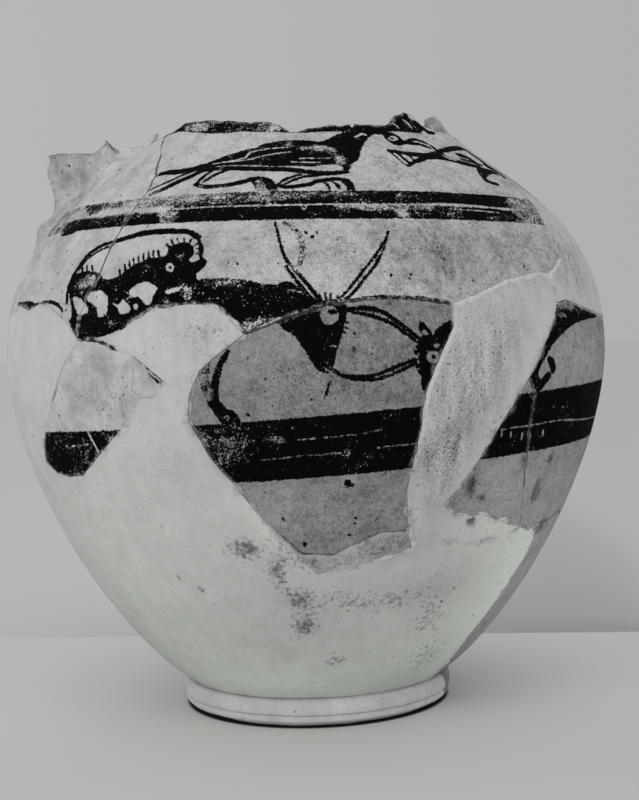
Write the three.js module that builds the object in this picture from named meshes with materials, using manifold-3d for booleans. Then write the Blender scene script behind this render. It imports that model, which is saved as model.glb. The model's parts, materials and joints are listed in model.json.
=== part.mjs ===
// A painted clay storage jar, found broken and put together again from sherds and plaster.
// The origin is the centre of the foot's underside, +Z is up and the painted front faces -Y.
// A place on the wall is an angle round the jar, from the front towards +X, and a height in
// percent of the way up to where the neck broke off.
import * as THREE from 'three';
import { mergeVertices } from 'three/addons/utils/BufferGeometryUtils.js';
import Module from 'manifold-3d';

const wasm = await Module();
wasm.setup();

// Foot, in millimetres
const FOOT_RADIUS = 87;
const FOOT_HEIGHT = 14;
const FOOT_BULGE = 4;
const FOOT_INNER_RADIUS = 74;
const FLOOR_THICKNESS = 10;
const FLOOR_RECESS = 5;

// Wall, in millimetres: where the curve leaves the foot, the belly and the neck
const WALL_THICKNESS = 9;
const WALL_FOOT_RADIUS = 81;
const BELLY_RADIUS = 200;
const BELLY_HEIGHT = 235;
const NECK_RADIUS = 94;
const NECK_HEIGHT = 396;

// How far the wall's curve keeps the direction that it starts and ends with, in millimetres
const FOOT_REACH = 72;
const BELLY_REACH_DOWN = 68;
const BELLY_REACH_UP = 105;
const NECK_REACH = 48;
const FOOT_FLARE_DEGREES = 32;
const NECK_SLOPE_DEGREES = 76;

// The plaster was scraped back a little behind the fired surface
const PLASTER_SETBACK = 0.5;

// Gap along every break, and between the pieces that are set on each other
const BREAK_GAP = 0.3;
const SEAT_GAP = 0.3;

// Handle root: a strap as wide and as deep as its flared seat on the shoulder allows
const HANDLE_DEGREES = -90;
const HANDLE_OUTER_RADIUS = 168;
const HANDLE_INNER_RADIUS = 118;
const HANDLE_BREAK_HEIGHT = 373;
const HANDLE_PEAK = 8;
const HANDLE_WIDTH = 60;
const HANDLE_FLARE = 20;
const HANDLE_FLARE_HEIGHT = 50;
const HANDLE_SEAT_HEIGHT = 296;
const HANDLE_EDGE_ROUND = 7;

// How finely curves are divided
const SEGMENTS_ROUND = 56;
const SEGMENTS_OUTSIDE = 9;
const SEGMENTS_INSIDE = 8;
const SEGMENTS_FOOT = 8;
const LONGEST_STEP_DEGREES = 10;

const radians = THREE.MathUtils.degToRad;

// The outer curve of the wall as [radius, height] control points, below and above the belly
function lowerCurve() {
  const start = new THREE.Vector2(WALL_FOOT_RADIUS, FOOT_HEIGHT + SEAT_GAP);
  const flare = radians(FOOT_FLARE_DEGREES);
  const reach = new THREE.Vector2(Math.cos(flare), Math.sin(flare)).multiplyScalar(FOOT_REACH);
  const belly = new THREE.Vector2(BELLY_RADIUS, BELLY_HEIGHT);
  const below = new THREE.Vector2(BELLY_RADIUS, BELLY_HEIGHT - BELLY_REACH_DOWN);
  return new THREE.CubicBezierCurve(start, start.clone().add(reach), below, belly);
}

function upperCurve() {
  const belly = new THREE.Vector2(BELLY_RADIUS, BELLY_HEIGHT);
  const above = new THREE.Vector2(BELLY_RADIUS, BELLY_HEIGHT + BELLY_REACH_UP);
  const neck = new THREE.Vector2(NECK_RADIUS, NECK_HEIGHT);
  const slope = radians(NECK_SLOPE_DEGREES);
  const reach = new THREE.Vector2(Math.cos(slope), -Math.sin(slope)).multiplyScalar(NECK_REACH);
  return new THREE.CubicBezierCurve(belly, above, neck.clone().add(reach), neck);
}

// Points of the outer curve moved inwards by a depth, square to the wall
function curvePoints(curve, steps, depth) {
  const points = [];
  for (let i = 0; i <= steps; i += 1) {
    const tangent = curve.getTangent(i / steps);
    const inwards = new THREE.Vector2(-tangent.y, tangent.x).multiplyScalar(depth);
    points.push(curve.getPoint(i / steps).add(inwards));
  }
  return points;
}

function wallLine(depth, steps = SEGMENTS_OUTSIDE) {
  const lower = curvePoints(lowerCurve(), steps, depth);
  const upper = curvePoints(upperCurve(), steps, depth);
  return lower.concat(upper.slice(1));
}

const OUTER_LINE = wallLine(0);

// Outward direction at a point of the outer curve, square to the line between its neighbours
function outwardsAt(i) {
  const low = OUTER_LINE[Math.max(i - 1, 0)];
  const high = OUTER_LINE[Math.min(i + 1, OUTER_LINE.length - 1)];
  return new THREE.Vector2(high.y - low.y, low.x - high.x).normalize();
}

// The wall at a height: its outer point, its outward direction and how steeply it rises
function wallAt(height) {
  let i = 1;
  while (i < OUTER_LINE.length - 1 && OUTER_LINE[i].y < height) {
    i += 1;
  }
  const low = OUTER_LINE[i - 1];
  const high = OUTER_LINE[i];
  const share = (height - low.y) / (high.y - low.y);
  const point = low.clone().lerp(high, share);
  const outwards = outwardsAt(i - 1).lerp(outwardsAt(i), THREE.MathUtils.clamp(share, 0, 1)).normalize();
  return { point, outwards, rise: outwards.x };
}

function roundJar(degrees, radius, height) {
  const angle = radians(degrees);
  return new THREE.Vector3(radius * Math.sin(angle), -radius * Math.cos(angle), height);
}

// A point a given distance outside the wall, or inside it where the distance is negative
function offWall(degrees, height, distance) {
  const { point, outwards } = wallAt(height);
  const moved = point.clone().addScaledVector(outwards, distance);
  return roundJar(degrees, moved.x, moved.y);
}

const heightOf = (percent) => (percent / 100) * NECK_HEIGHT;

// Corners closer than this are one corner, in millimetres
const WELD_DISTANCE = 1e-4;

// A closed geometry as a solid; where a turned shape meets its axis, faces shrink to nothing
function solidOf(geometry) {
  geometry.deleteAttribute('normal');
  geometry.deleteAttribute('uv');
  const merged = mergeVertices(geometry, WELD_DISTANCE);
  const corners = merged.index.array;
  const kept = [];
  for (let i = 0; i < corners.length; i += 3) {
    const [a, b, c] = corners.slice(i, i + 3);
    if (a !== b && b !== c && c !== a) {
      kept.push(a, b, c);
    }
  }
  return new wasm.Manifold(new wasm.Mesh({
    numProp: 3,
    vertProperties: new Float32Array(merged.attributes.position.array),
    triVerts: new Uint32Array(kept),
  }));
}

function geometryOf(solid) {
  const mesh = solid.getMesh();
  const geometry = new THREE.BufferGeometry();
  geometry.setAttribute('position', new THREE.BufferAttribute(new Float32Array(mesh.vertProperties), 3));
  geometry.setIndex(new THREE.BufferAttribute(new Uint32Array(mesh.triVerts), 1));
  geometry.computeVertexNormals();
  return geometry;
}

// A profile turned round the jar's axis: it starts and ends on the axis, or is closed here
function turned(profile) {
  const closed = profile[0].x === 0 ? profile : profile.concat([profile[0].clone()]);
  const geometry = new THREE.LatheGeometry(closed, SEGMENTS_ROUND);
  geometry.rotateX(Math.PI / 2);
  return solidOf(geometry);
}

// Four-cornered sections joined into one closed bar, or into a ring when the ends meet.
// Opposite sides are split along the same diagonal, so that a thin bar keeps its thickness
// where it twists.
function barThrough(sections, ring = false) {
  const positions = sections.flat().flatMap((p) => [p.x, p.y, p.z]);
  const faces = [];
  const last = ring ? sections.length : sections.length - 1;
  for (let s = 0; s < last; s += 1) {
    const here = s * 4;
    const next = ((s + 1) % sections.length) * 4;
    for (let c = 0; c < 4; c += 1) {
      const d = (c + 1) % 4;
      if (c < 2) {
        faces.push(here + c, next + c, next + d, here + c, next + d, here + d);
      } else {
        faces.push(here + c, next + c, here + d, next + c, next + d, here + d);
      }
    }
  }
  if (!ring) {
    const end = (sections.length - 1) * 4;
    faces.push(0, 1, 2, 0, 2, 3);
    faces.push(end, end + 2, end + 1, end, end + 3, end + 2);
  }
  const geometry = new THREE.BufferGeometry();
  geometry.setAttribute('position', new THREE.Float32BufferAttribute(positions, 3));
  geometry.setIndex(faces);
  return solidOf(geometry);
}

// A broken line's points with long steps divided, because the wall curves between them
function divided(line) {
  const points = [line[0]];
  for (let i = 1; i < line.length; i += 1) {
    const [fromDegrees, fromPercent] = line[i - 1];
    const [toDegrees, toPercent] = line[i];
    const apart = Math.hypot(toDegrees - fromDegrees, toPercent - fromPercent);
    const parts = Math.ceil(apart / LONGEST_STEP_DEGREES);
    for (let k = 1; k <= parts; k += 1) {
      const share = k / parts;
      points.push([
        fromDegrees + (toDegrees - fromDegrees) * share,
        fromPercent + (toPercent - fromPercent) * share,
      ]);
    }
  }
  return points;
}

// How far the cutting bars stand out of the wall on either side, which is more than the flat
// faces of the inner wall stand off its true curve
const CUT_CLEARANCE = 8;

// At a sharp corner the bar's sides are moved out by at most the inverse of this share
const SMALLEST_MITRE = 0.4;

// The thin gap that a break leaves: a bar through the wall, square to it, along the line
function breakBar(line) {
  const middle = divided(line).map(([degrees, percent]) => [degrees, heightOf(percent)]);
  const flat = middle.map(([degrees, height]) => {
    const { point, rise } = wallAt(height);
    return { degrees, height, radius: point.x, rise };
  });
  const step = (a, b) => new THREE.Vector2(
    radians(b.degrees - a.degrees) * (a.radius + b.radius) / 2,
    (b.height - a.height) / ((a.rise + b.rise) / 2),
  ).normalize();
  const sections = flat.map((here, i) => {
    const before = i > 0 ? step(flat[i - 1], here) : null;
    const after = i < flat.length - 1 ? step(here, flat[i + 1]) : null;
    const along = (before ?? after).clone().add(after ?? before).normalize();
    const mitre = 1 / Math.max(SMALLEST_MITRE, along.dot(before ?? after));
    const aside = new THREE.Vector2(-along.y, along.x).multiplyScalar((BREAK_GAP / 2) * mitre);
    const onward = (i === 0 ? -1 : i === flat.length - 1 ? 1 : 0) * BREAK_GAP;
    const corner = (side, distance) => offWall(
      here.degrees + THREE.MathUtils.radToDeg((side * aside.x + onward * along.x) / here.radius),
      here.height + (side * aside.y + onward * along.y) * here.rise,
      distance,
    );
    const inside = -WALL_THICKNESS - CUT_CLEARANCE;
    return [corner(-1, CUT_CLEARANCE), corner(1, CUT_CLEARANCE), corner(1, inside), corner(-1, inside)];
  });
  return barThrough(sections);
}

// Everything above the broken top edge, a ring with a ragged underside
function aboveTheBreak(line) {
  const over = NECK_HEIGHT + WALL_THICKNESS + CUT_CLEARANCE;
  const full = divided(line.concat([[line[0][0] + 360, line[0][1]]])).slice(0, -1);
  const sections = full.map(([degrees, percent]) => {
    const outer = offWall(degrees, heightOf(percent), CUT_CLEARANCE);
    const inner = offWall(degrees, heightOf(percent), -WALL_THICKNESS - CUT_CLEARANCE);
    const wide = roundJar(degrees, BELLY_RADIUS, over);
    const narrow = roundJar(degrees, NECK_RADIUS / 2, over);
    return [inner, outer, wide, narrow];
  });
  return barThrough(sections, true);
}

// The ragged top edge, where the neck broke away, once round the jar
const TOP_EDGE = [
  [-112, 94.6], [-98, 93.2], [-84, 94], [-75, 93.2], [-62, 94.3], [-52.7, 95.1], [-44.5, 96.5],
  [-34.5, 96.5], [-23.6, 96], [-8.9, 95.3], [-4.4, 94.1], [-2.1, 93.2], [1, 93.6], [7.5, 94.1],
  [17.7, 94.6], [30.6, 94.6], [37.3, 96.3], [43.3, 97.4], [46.8, 96.8], [48.9, 95.2], [55.1, 94.6],
  [70, 94.2], [84, 94.6], [88, 97.8], [96, 99.2], [103, 98.2], [109, 94.4], [124, 95.6], [138, 94],
  [152, 96.4], [168, 95.4], [180, 93.6], [196, 95.2], [212, 96.6], [230, 94.2],
];

// Where three breaks or more meet
const LEFT_MEETING = [-41.4, 62.7];
const LENS_LEFT = [-32.3, 61.2];
const LENS_RIGHT = [-9.4, 62.7];
const LENS_FOOT = [-16.8, 58.1];
const CHIP_TOP = [-28.6, 60.4];
const CHIP_LEFT = [-27.8, 54.2];
const CHIP_RIGHT = [-22.7, 56.4];
const STRIP_TOP_LEFT = [25.3, 66.1];
const STRIP_TOP_RIGHT = [49.5, 70.2];
const STRIP_SHOULDER = [49.9, 66.1];
const STRIP_FOOT_LEFT = [20.4, 30.8];
const TIP_LEFT = [-7, 34.8];
const TIP_RIGHT = [19.1, 33.6];
const RIGHT_PAIR_TOP = [40.8, 55.3];
const RIGHT_PAIR_FOOT = [48.6, 31.8];
const LOWER_RIGHT_TOP = [58.6, 31.1];
const SIDE_TOP = [66, 86];
const SIDE_MEETING = [78, 63.6];
const SIDE_FOOT = [90, 31];
const REAR_TOP = [148, 62];
const REAR_RIGHT_FOOT = [138, 33];
const REAR_MIDDLE = [200, 62];
const REAR_MIDDLE_FOOT = [198, 34];
const REAR_LEFT_FOOT = [228, 30];
const REAR_LEFT_TOP = [246, 66];
const LEFT_SIDE = [-114, 66];

// Every break through the wall, from one meeting point to the next
const BREAKS = [
  [[-53.6, 97], [-52.7, 94.5], [-44.5, 91.2], [-38, 87.6], [-35.9, 84.3], [-36.4, 79], [-37.8, 72.5],
    [-41.1, 66.2], LEFT_MEETING],
  [LEFT_MEETING, [-44.4, 65.5], [-50.1, 67.9], [-54.1, 68.5], [-59, 67.6], [-64.6, 68.5], [-75, 66.7],
    [-90, 67.7], [-104, 65.2], LEFT_SIDE],
  [LEFT_MEETING, [-37, 62.6], LENS_LEFT],
  [LENS_LEFT, [-33.2, 62.8], [-29.1, 65], [-24.8, 66.8], [-18.3, 67.3], [-13.2, 66.4], LENS_RIGHT],
  [LENS_RIGHT, [-12.7, 60.8], LENS_FOOT],
  [LENS_FOOT, [-18.4, 56.9], CHIP_RIGHT],
  [CHIP_RIGHT, CHIP_TOP],
  [CHIP_TOP, LENS_LEFT],
  [LEFT_MEETING, [-44.9, 59.2], [-51.6, 52], [-56.9, 47.4], [-59.3, 44], [-55.2, 42.4], [-51.3, 41.9],
    [-46.1, 42.4], [-37.9, 46.6], [-31.2, 50.9], CHIP_LEFT],
  [CHIP_LEFT, [-29.6, 55.3], CHIP_TOP],
  [CHIP_LEFT, [-25.2, 54.4], CHIP_RIGHT],
  [LENS_FOOT, [-19, 54.2], [-19.6, 50.8], [-16.5, 45.5], [-12.8, 41.3], TIP_LEFT],
  [TIP_LEFT, [-0.9, 29.3], [1.3, 27.5], [7.8, 28.5], STRIP_FOOT_LEFT],
  [TIP_LEFT, [-1.3, 30.9], [4.3, 30.6], [12.9, 33.5], TIP_RIGHT],
  [LENS_RIGHT, [-2.5, 64.9], [4.9, 66.7], [14.7, 67.3], STRIP_TOP_LEFT],
  [STRIP_TOP_LEFT, [25.1, 62.8], [22, 58], [19.9, 53.6], [18.7, 44.9], [17.8, 40.2], TIP_RIGHT],
  [TIP_RIGHT, STRIP_FOOT_LEFT],
  [STRIP_TOP_LEFT, [31, 67.7], [36.8, 69.3], [46.5, 70.5], STRIP_TOP_RIGHT],
  [STRIP_TOP_RIGHT, STRIP_SHOULDER],
  [STRIP_SHOULDER, [46.1, 61.4], RIGHT_PAIR_TOP],
  [RIGHT_PAIR_TOP, [35.5, 48.9], [30.4, 42.3], [25.5, 37.2], [28.5, 35.2], [35.7, 34.8], [42.3, 33],
    RIGHT_PAIR_FOOT],
  [RIGHT_PAIR_TOP, [42.8, 52.5], [42.8, 47], [45.3, 37.9], RIGHT_PAIR_FOOT],
  [STRIP_FOOT_LEFT, [24.1, 31.7], [36.8, 30.6], [43.6, 30.8], RIGHT_PAIR_FOOT],
  [RIGHT_PAIR_FOOT, [53.4, 30.7], LOWER_RIGHT_TOP],
  [STRIP_SHOULDER, [53.2, 66.4], [59.4, 65.3], [67.7, 64.2], SIDE_MEETING],
  [LOWER_RIGHT_TOP, [57.3, 24.7], [54.2, 17.1], [52.7, 13], [54.6, 9.1], [62, 0.5]],
  [LOWER_RIGHT_TOP, [70, 32.3], [80, 30], SIDE_FOOT],
  [SIDE_MEETING, [84, 57], [80, 48], [88, 40], SIDE_FOOT],
  [STRIP_TOP_RIGHT, [56, 73], [58, 78], [62, 82], SIDE_TOP],
  [SIDE_TOP, [74, 90], [80, 94.2], [81, 97]],
  [SIDE_TOP, [76, 80], [84, 72], SIDE_MEETING],
  [SIDE_MEETING, [95, 66], [112, 62], [130, 65], REAR_TOP],
  [REAR_TOP, [143, 70], [150, 80], [146, 90], [150, 98.5]],
  [SIDE_FOOT, [105, 34], [120, 30], REAR_RIGHT_FOOT],
  [REAR_TOP, [155, 52], [146, 42], REAR_RIGHT_FOOT],
  [REAR_TOP, [165, 60], [182, 54], REAR_MIDDLE],
  [REAR_MIDDLE, [196, 54], [205, 44], REAR_MIDDLE_FOOT],
  [REAR_RIGHT_FOOT, [155, 28], [175, 31], REAR_MIDDLE_FOOT],
  [REAR_RIGHT_FOOT, [132, 22], [140, 12], [136, 0.5]],
  [REAR_MIDDLE_FOOT, [212, 36], REAR_LEFT_FOOT],
  [REAR_LEFT_FOOT, [222, 20], [230, 11], [224, 0.5]],
  [REAR_MIDDLE, [215, 67], [232, 64], REAR_LEFT_TOP],
  [REAR_LEFT_TOP, [252, 56], [244, 46], [250, 38], [238, 32], REAR_LEFT_FOOT],
  [REAR_LEFT_TOP, [238, 74], [244, 84], [236, 92], [240, 98.5]],
];

// The finishes: thick slip over clay, darker fired clay, bare plaster
const SLIP_PALE = { color: 0xc4c1b8, roughness: 0.82 };
const SLIP_WORN = { color: 0xa19e96, roughness: 0.85 };
const CLAY_DARK = { color: 0x8a8780, roughness: 0.88 };
const PLASTER = { color: 0xdedcd5, roughness: 0.93 };

// The wall's pieces, each found by one place that lies on it
const SHERDS = [
  { name: 'shoulder_sherd_left', at: [-80, 80], finish: SLIP_PALE },
  { name: 'shoulder_sherd_front', at: [0, 80], finish: SLIP_PALE },
  { name: 'shoulder_sherd_rear_right', at: [110, 80], finish: SLIP_WORN },
  { name: 'shoulder_sherd_rear_left', at: [200, 80], finish: SLIP_WORN },
  { name: 'belly_sherd_centre', at: [0, 50], finish: CLAY_DARK },
  { name: 'belly_sherd_tip', at: [5, 29.4], finish: SLIP_WORN },
  { name: 'belly_sherd_left', at: [-45, 50], finish: SLIP_PALE },
  { name: 'belly_chip', at: [-26.5, 57], finish: SLIP_PALE },
  { name: 'belly_sherd_right_inner', at: [38, 42], finish: CLAY_DARK },
  { name: 'belly_sherd_right_outer', at: [62, 48], finish: CLAY_DARK },
  { name: 'belly_sherd_rear_right', at: [115, 48], finish: SLIP_WORN },
  { name: 'belly_sherd_rear_left', at: [222, 50], finish: SLIP_WORN },
  { name: 'lower_sherd_right', at: [85, 15], finish: CLAY_DARK },
  { name: 'lower_sherd_rear', at: [180, 15], finish: CLAY_DARK },
];

const FILLS = [
  { name: 'lens_fill', at: [-22, 62] },
  { name: 'strip_fill', at: [36, 60] },
  { name: 'shoulder_fill_right', at: [68, 72] },
  { name: 'lower_fill', at: [-30, 25] },
  { name: 'rear_fill', at: [170, 44] },
];

// The wall, from its flat seat on the foot ring up to the neck, with its outer face set back
function wallRing(setback) {
  const outer = wallLine(setback);
  const seat = new THREE.Vector2(FOOT_INNER_RADIUS + SEAT_GAP, FOOT_HEIGHT + SEAT_GAP);
  const inner = wallLine(WALL_THICKNESS, SEGMENTS_INSIDE).reverse();
  outer[0].y = FOOT_HEIGHT + SEAT_GAP;
  return turned(outer.concat(inner, [seat]));
}

function brokenPieces(ring, cuts) {
  return cuts.reduce((rest, cut) => rest.subtract(cut), ring).decompose();
}

// The piece that a small probe in the middle of the wall touches
function pieceAt(pieces, [degrees, percent]) {
  const probe = new THREE.SphereGeometry(WALL_THICKNESS / 4, 8, 6);
  const middle = offWall(degrees, heightOf(percent), -WALL_THICKNESS / 2);
  probe.translate(middle.x, middle.y, middle.z);
  const touch = solidOf(probe);
  return pieces.find((piece) => piece.intersect(touch).volume() > 0);
}

function meshOf(name, solid, finish) {
  const material = new THREE.MeshStandardMaterial({ ...finish, metalness: 0 });
  const mesh = new THREE.Mesh(geometryOf(solid), material);
  mesh.name = name;
  return mesh;
}

function wall() {
  const cuts = [aboveTheBreak(TOP_EDGE), ...BREAKS.map(breakBar)];
  const fired = brokenPieces(wallRing(0), cuts);
  const cast = brokenPieces(wallRing(PLASTER_SETBACK), cuts);
  const group = new THREE.Group();
  for (const { name, at, finish } of SHERDS) {
    group.add(meshOf(name, pieceAt(fired, at), finish));
  }
  for (const { name, at } of FILLS) {
    group.add(meshOf(name, pieceAt(cast, at), PLASTER));
  }
  return group;
}

// Foot ring, a thick rounded roll, in a cast front part and the old part behind
const FOOT_SEAM_RIGHT = 70;
const FOOT_SEAM_LEFT = -134;

// Below 1 the roll is fuller than a sine wave, nearer to a half circle
const FOOT_FULLNESS = 0.7;

function footProfile() {
  const profile = [new THREE.Vector2(FOOT_INNER_RADIUS, 0)];
  for (let i = 0; i <= SEGMENTS_FOOT; i += 1) {
    const share = i / SEGMENTS_FOOT;
    const bulge = FOOT_BULGE * Math.sin(Math.PI * share) ** FOOT_FULLNESS;
    profile.push(new THREE.Vector2(FOOT_RADIUS + bulge, FOOT_HEIGHT * share));
  }
  profile.push(new THREE.Vector2(FOOT_INNER_RADIUS, FOOT_HEIGHT));
  return profile;
}

// A thin upright slice from the axis outwards, at an angle round the jar
function radialSlice(degrees) {
  const reach = FOOT_RADIUS + FOOT_BULGE + CUT_CLEARANCE;
  const slice = new THREE.BoxGeometry(BREAK_GAP, reach, FOOT_HEIGHT + 2 * CUT_CLEARANCE);
  slice.translate(0, -reach / 2, FOOT_HEIGHT / 2);
  slice.rotateZ(radians(degrees));
  return solidOf(slice);
}

function foot() {
  const ring = turned(footProfile());
  const halves = brokenPieces(ring, [FOOT_SEAM_RIGHT, FOOT_SEAM_LEFT].map(radialSlice));
  const isFront = (piece) => piece.boundingBox().min[1] < -FOOT_INNER_RADIUS;
  const group = new THREE.Group();
  group.add(meshOf('foot_ring_front', halves.find(isFront), PLASTER));
  group.add(meshOf('foot_ring_rear', halves.find((piece) => !isFront(piece)), CLAY_DARK));
  return group;
}

// Floor of the jar, a disc inside the foot: the old rear part and the cast front part.
// The crack's points are shares of the disc's radius, so that it always runs from edge to edge.
const FLOOR_CRACK = [[-1.1, -0.12], [-0.62, 0.18], [-0.18, 0.05], [0.3, 0.3], [0.68, 0.1], [1.1, 0.24]];

function floorCrackBar(radius) {
  const top = FLOOR_RECESS + FLOOR_THICKNESS + CUT_CLEARANCE;
  const bottom = FLOOR_RECESS - CUT_CLEARANCE;
  const sections = FLOOR_CRACK.map(([x, y]) => {
    const front = y * radius - BREAK_GAP / 2;
    const back = y * radius + BREAK_GAP / 2;
    return [
      new THREE.Vector3(x * radius, back, bottom),
      new THREE.Vector3(x * radius, front, bottom),
      new THREE.Vector3(x * radius, front, top),
      new THREE.Vector3(x * radius, back, top),
    ];
  });
  return barThrough(sections);
}

function floor() {
  const radius = FOOT_INNER_RADIUS - SEAT_GAP;
  const disc = turned([
    new THREE.Vector2(0, FLOOR_RECESS),
    new THREE.Vector2(radius, FLOOR_RECESS),
    new THREE.Vector2(radius, FLOOR_RECESS + FLOOR_THICKNESS),
    new THREE.Vector2(0, FLOOR_RECESS + FLOOR_THICKNESS),
  ]);
  const halves = brokenPieces(disc, [floorCrackBar(radius)]);
  const isFront = (piece) => piece.boundingBox().min[1] < -radius / 2;
  const group = new THREE.Group();
  group.add(meshOf('floor_fill', halves.find(isFront), PLASTER));
  group.add(meshOf('floor_sherd', halves.find((piece) => !isFront(piece)), CLAY_DARK));
  return group;
}

// Handle root. It is drawn twice, seen along the jar's edge and seen from outside, and the two
// outlines are crossed. Its own frame has +X pointing out of the jar.
function handleSide() {
  const top = HANDLE_BREAK_HEIGHT;
  const out = HANDLE_OUTER_RADIUS;
  const flareTop = HANDLE_SEAT_HEIGHT + HANDLE_FLARE_HEIGHT;
  const seatRadius = wallAt(HANDLE_SEAT_HEIGHT).point.x;
  const inner = NECK_RADIUS - WALL_THICKNESS;
  const shape = new THREE.Shape();
  shape.moveTo(seatRadius, HANDLE_SEAT_HEIGHT);
  shape.quadraticCurveTo(out + HANDLE_EDGE_ROUND, flareTop - HANDLE_FLARE, out, flareTop);
  shape.lineTo(out, top);
  shape.lineTo(HANDLE_INNER_RADIUS + 2 * HANDLE_PEAK, top);
  shape.lineTo(HANDLE_INNER_RADIUS + HANDLE_PEAK, top + HANDLE_PEAK);
  shape.lineTo(HANDLE_INNER_RADIUS, top - HANDLE_PEAK / 2);
  shape.lineTo(inner, top - HANDLE_PEAK);
  shape.lineTo(inner, HANDLE_SEAT_HEIGHT);
  return shape;
}

function handleFront() {
  const half = HANDLE_WIDTH / 2;
  const wide = half + HANDLE_FLARE;
  const flareTop = HANDLE_SEAT_HEIGHT + HANDLE_FLARE_HEIGHT;
  const top = HANDLE_BREAK_HEIGHT + 2 * HANDLE_PEAK;
  const shape = new THREE.Shape();
  shape.moveTo(-wide, HANDLE_SEAT_HEIGHT);
  shape.lineTo(wide, HANDLE_SEAT_HEIGHT);
  shape.quadraticCurveTo(half, flareTop - HANDLE_FLARE, half, flareTop);
  shape.lineTo(half, top);
  shape.lineTo(-half, top);
  shape.lineTo(-half, flareTop);
  shape.quadraticCurveTo(-half, flareTop - HANDLE_FLARE, -wide, HANDLE_SEAT_HEIGHT);
  return shape;
}

function extrudedUpright(shape, depth, bevel) {
  const geometry = new THREE.ExtrudeGeometry(shape, {
    depth: depth - 2 * bevel,
    bevelEnabled: bevel > 0,
    bevelSize: bevel,
    bevelOffset: -bevel,
    bevelThickness: bevel,
    bevelSegments: 2,
    curveSegments: 6,
  });
  geometry.translate(0, 0, bevel - depth / 2);
  geometry.rotateX(Math.PI / 2);
  return geometry;
}

function handleRoot() {
  const width = HANDLE_WIDTH + 2 * HANDLE_FLARE;
  const side = solidOf(extrudedUpright(handleSide(), width, 0));
  const frontGeometry = extrudedUpright(handleFront(), 2 * HANDLE_OUTER_RADIUS, HANDLE_EDGE_ROUND);
  frontGeometry.rotateZ(Math.PI / 2);
  const upright = side.intersect(solidOf(frontGeometry));
  const jar = wallLine(-SEAT_GAP);
  const axisTop = new THREE.Vector2(0, jar.at(-1).y);
  const axisFoot = new THREE.Vector2(0, jar[0].y);
  const seated = upright.subtract(turned([axisFoot, ...jar, axisTop]));
  const mesh = meshOf('handle_root', seated, SLIP_WORN);
  mesh.rotation.z = radians(HANDLE_DEGREES - 90);
  return mesh;
}

const jar = new THREE.Group();
jar.add(foot(), floor(), wall(), handleRoot());

export default jar;
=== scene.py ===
# %% [markdown]
# # A painted clay jar, broken and mended
# The jar is wide, made of coarse clay, covered with pale slip and painted in a dark pigment.
# It was found in sherds and put together again with plaster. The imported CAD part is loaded
# first and never changed: every piece built here takes its outline from it, so what is seen
# stays where the solids are.

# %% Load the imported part
import json
import math

import bpy
import numpy as np
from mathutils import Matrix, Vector
from mathutils.geometry import delaunay_2d_cdt
from mathutils.bvhtree import BVHTree
from mathutils.kdtree import KDTree


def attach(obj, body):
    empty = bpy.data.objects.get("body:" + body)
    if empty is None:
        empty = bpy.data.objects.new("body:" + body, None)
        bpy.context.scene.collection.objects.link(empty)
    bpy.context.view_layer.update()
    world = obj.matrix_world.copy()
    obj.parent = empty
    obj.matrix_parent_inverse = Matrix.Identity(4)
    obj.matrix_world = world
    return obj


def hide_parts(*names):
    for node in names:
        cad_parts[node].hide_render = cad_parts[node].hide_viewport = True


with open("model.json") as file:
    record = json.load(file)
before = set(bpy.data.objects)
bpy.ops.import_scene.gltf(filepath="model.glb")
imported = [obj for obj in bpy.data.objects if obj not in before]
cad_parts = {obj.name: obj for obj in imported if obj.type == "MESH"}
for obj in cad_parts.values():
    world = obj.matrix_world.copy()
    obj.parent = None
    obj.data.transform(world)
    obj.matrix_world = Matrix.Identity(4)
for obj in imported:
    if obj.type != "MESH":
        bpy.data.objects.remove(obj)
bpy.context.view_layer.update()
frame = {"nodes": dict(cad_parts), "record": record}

# %% [markdown]
# ## The camera
# The photograph was fitted with a plain pinhole camera, a little above the widest part of the
# jar and a metre from its axis. The jar leans about two degrees in the picture, so the camera
# is rolled by that much. It comes first, because everything else is judged through it.

# %% The camera
CAMERA_PLACE = (0.008, -1.0, 0.250)
CAMERA_PITCH = -0.048
CAMERA_ROLL = -0.035
FOCAL_PIXELS = 1468
PICTURE_HEIGHT = 800
SENSOR = 36.0


def make_camera():
    lens = bpy.data.cameras.new("camera")
    lens.sensor_fit = "VERTICAL"
    lens.sensor_height = SENSOR
    lens.lens = FOCAL_PIXELS / PICTURE_HEIGHT * SENSOR
    lens.clip_start = 0.05
    lens.clip_end = 60
    camera = bpy.data.objects.new("camera", lens)
    bpy.context.scene.collection.objects.link(camera)
    camera.location = CAMERA_PLACE
    aim = Vector((0, math.cos(CAMERA_PITCH), math.sin(CAMERA_PITCH)))
    camera.rotation_euler = aim.to_track_quat("-Z", "Y").to_euler()
    camera.rotation_euler.rotate_axis("Z", CAMERA_ROLL)
    bpy.context.scene.camera = camera
    return camera


camera = make_camera()
print("lens in mm:", round(camera.data.lens, 2))

# %% [markdown]
# ## The wall's curve
# A thrown wall is one curve turned round an axis. It is drawn as two cubic Bezier curves that
# meet at the belly, in millimetres, with the values of the CAD part: how steeply each end
# leaves, and how far the curve holds to that direction. Places on the wall are then given by
# an angle round the jar, from the front towards +X, and by the length along this curve, because
# distances on the curve stay true where the wall leans.

# %% The wall's curve in millimetres
WALL = 9.0
BELLY = (200.0, 235.0)
BELLY_HOLD_BELOW = 68
BELLY_HOLD_ABOVE = 105
FOOT_END = (81.0, 14.3)
FOOT_FLARE = math.radians(32)
FOOT_HOLD = 72
NECK_END = (94.0, 396.0)
NECK_SLOPE = math.radians(76)
NECK_HOLD = 48
STEPS_EACH = 600


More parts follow.
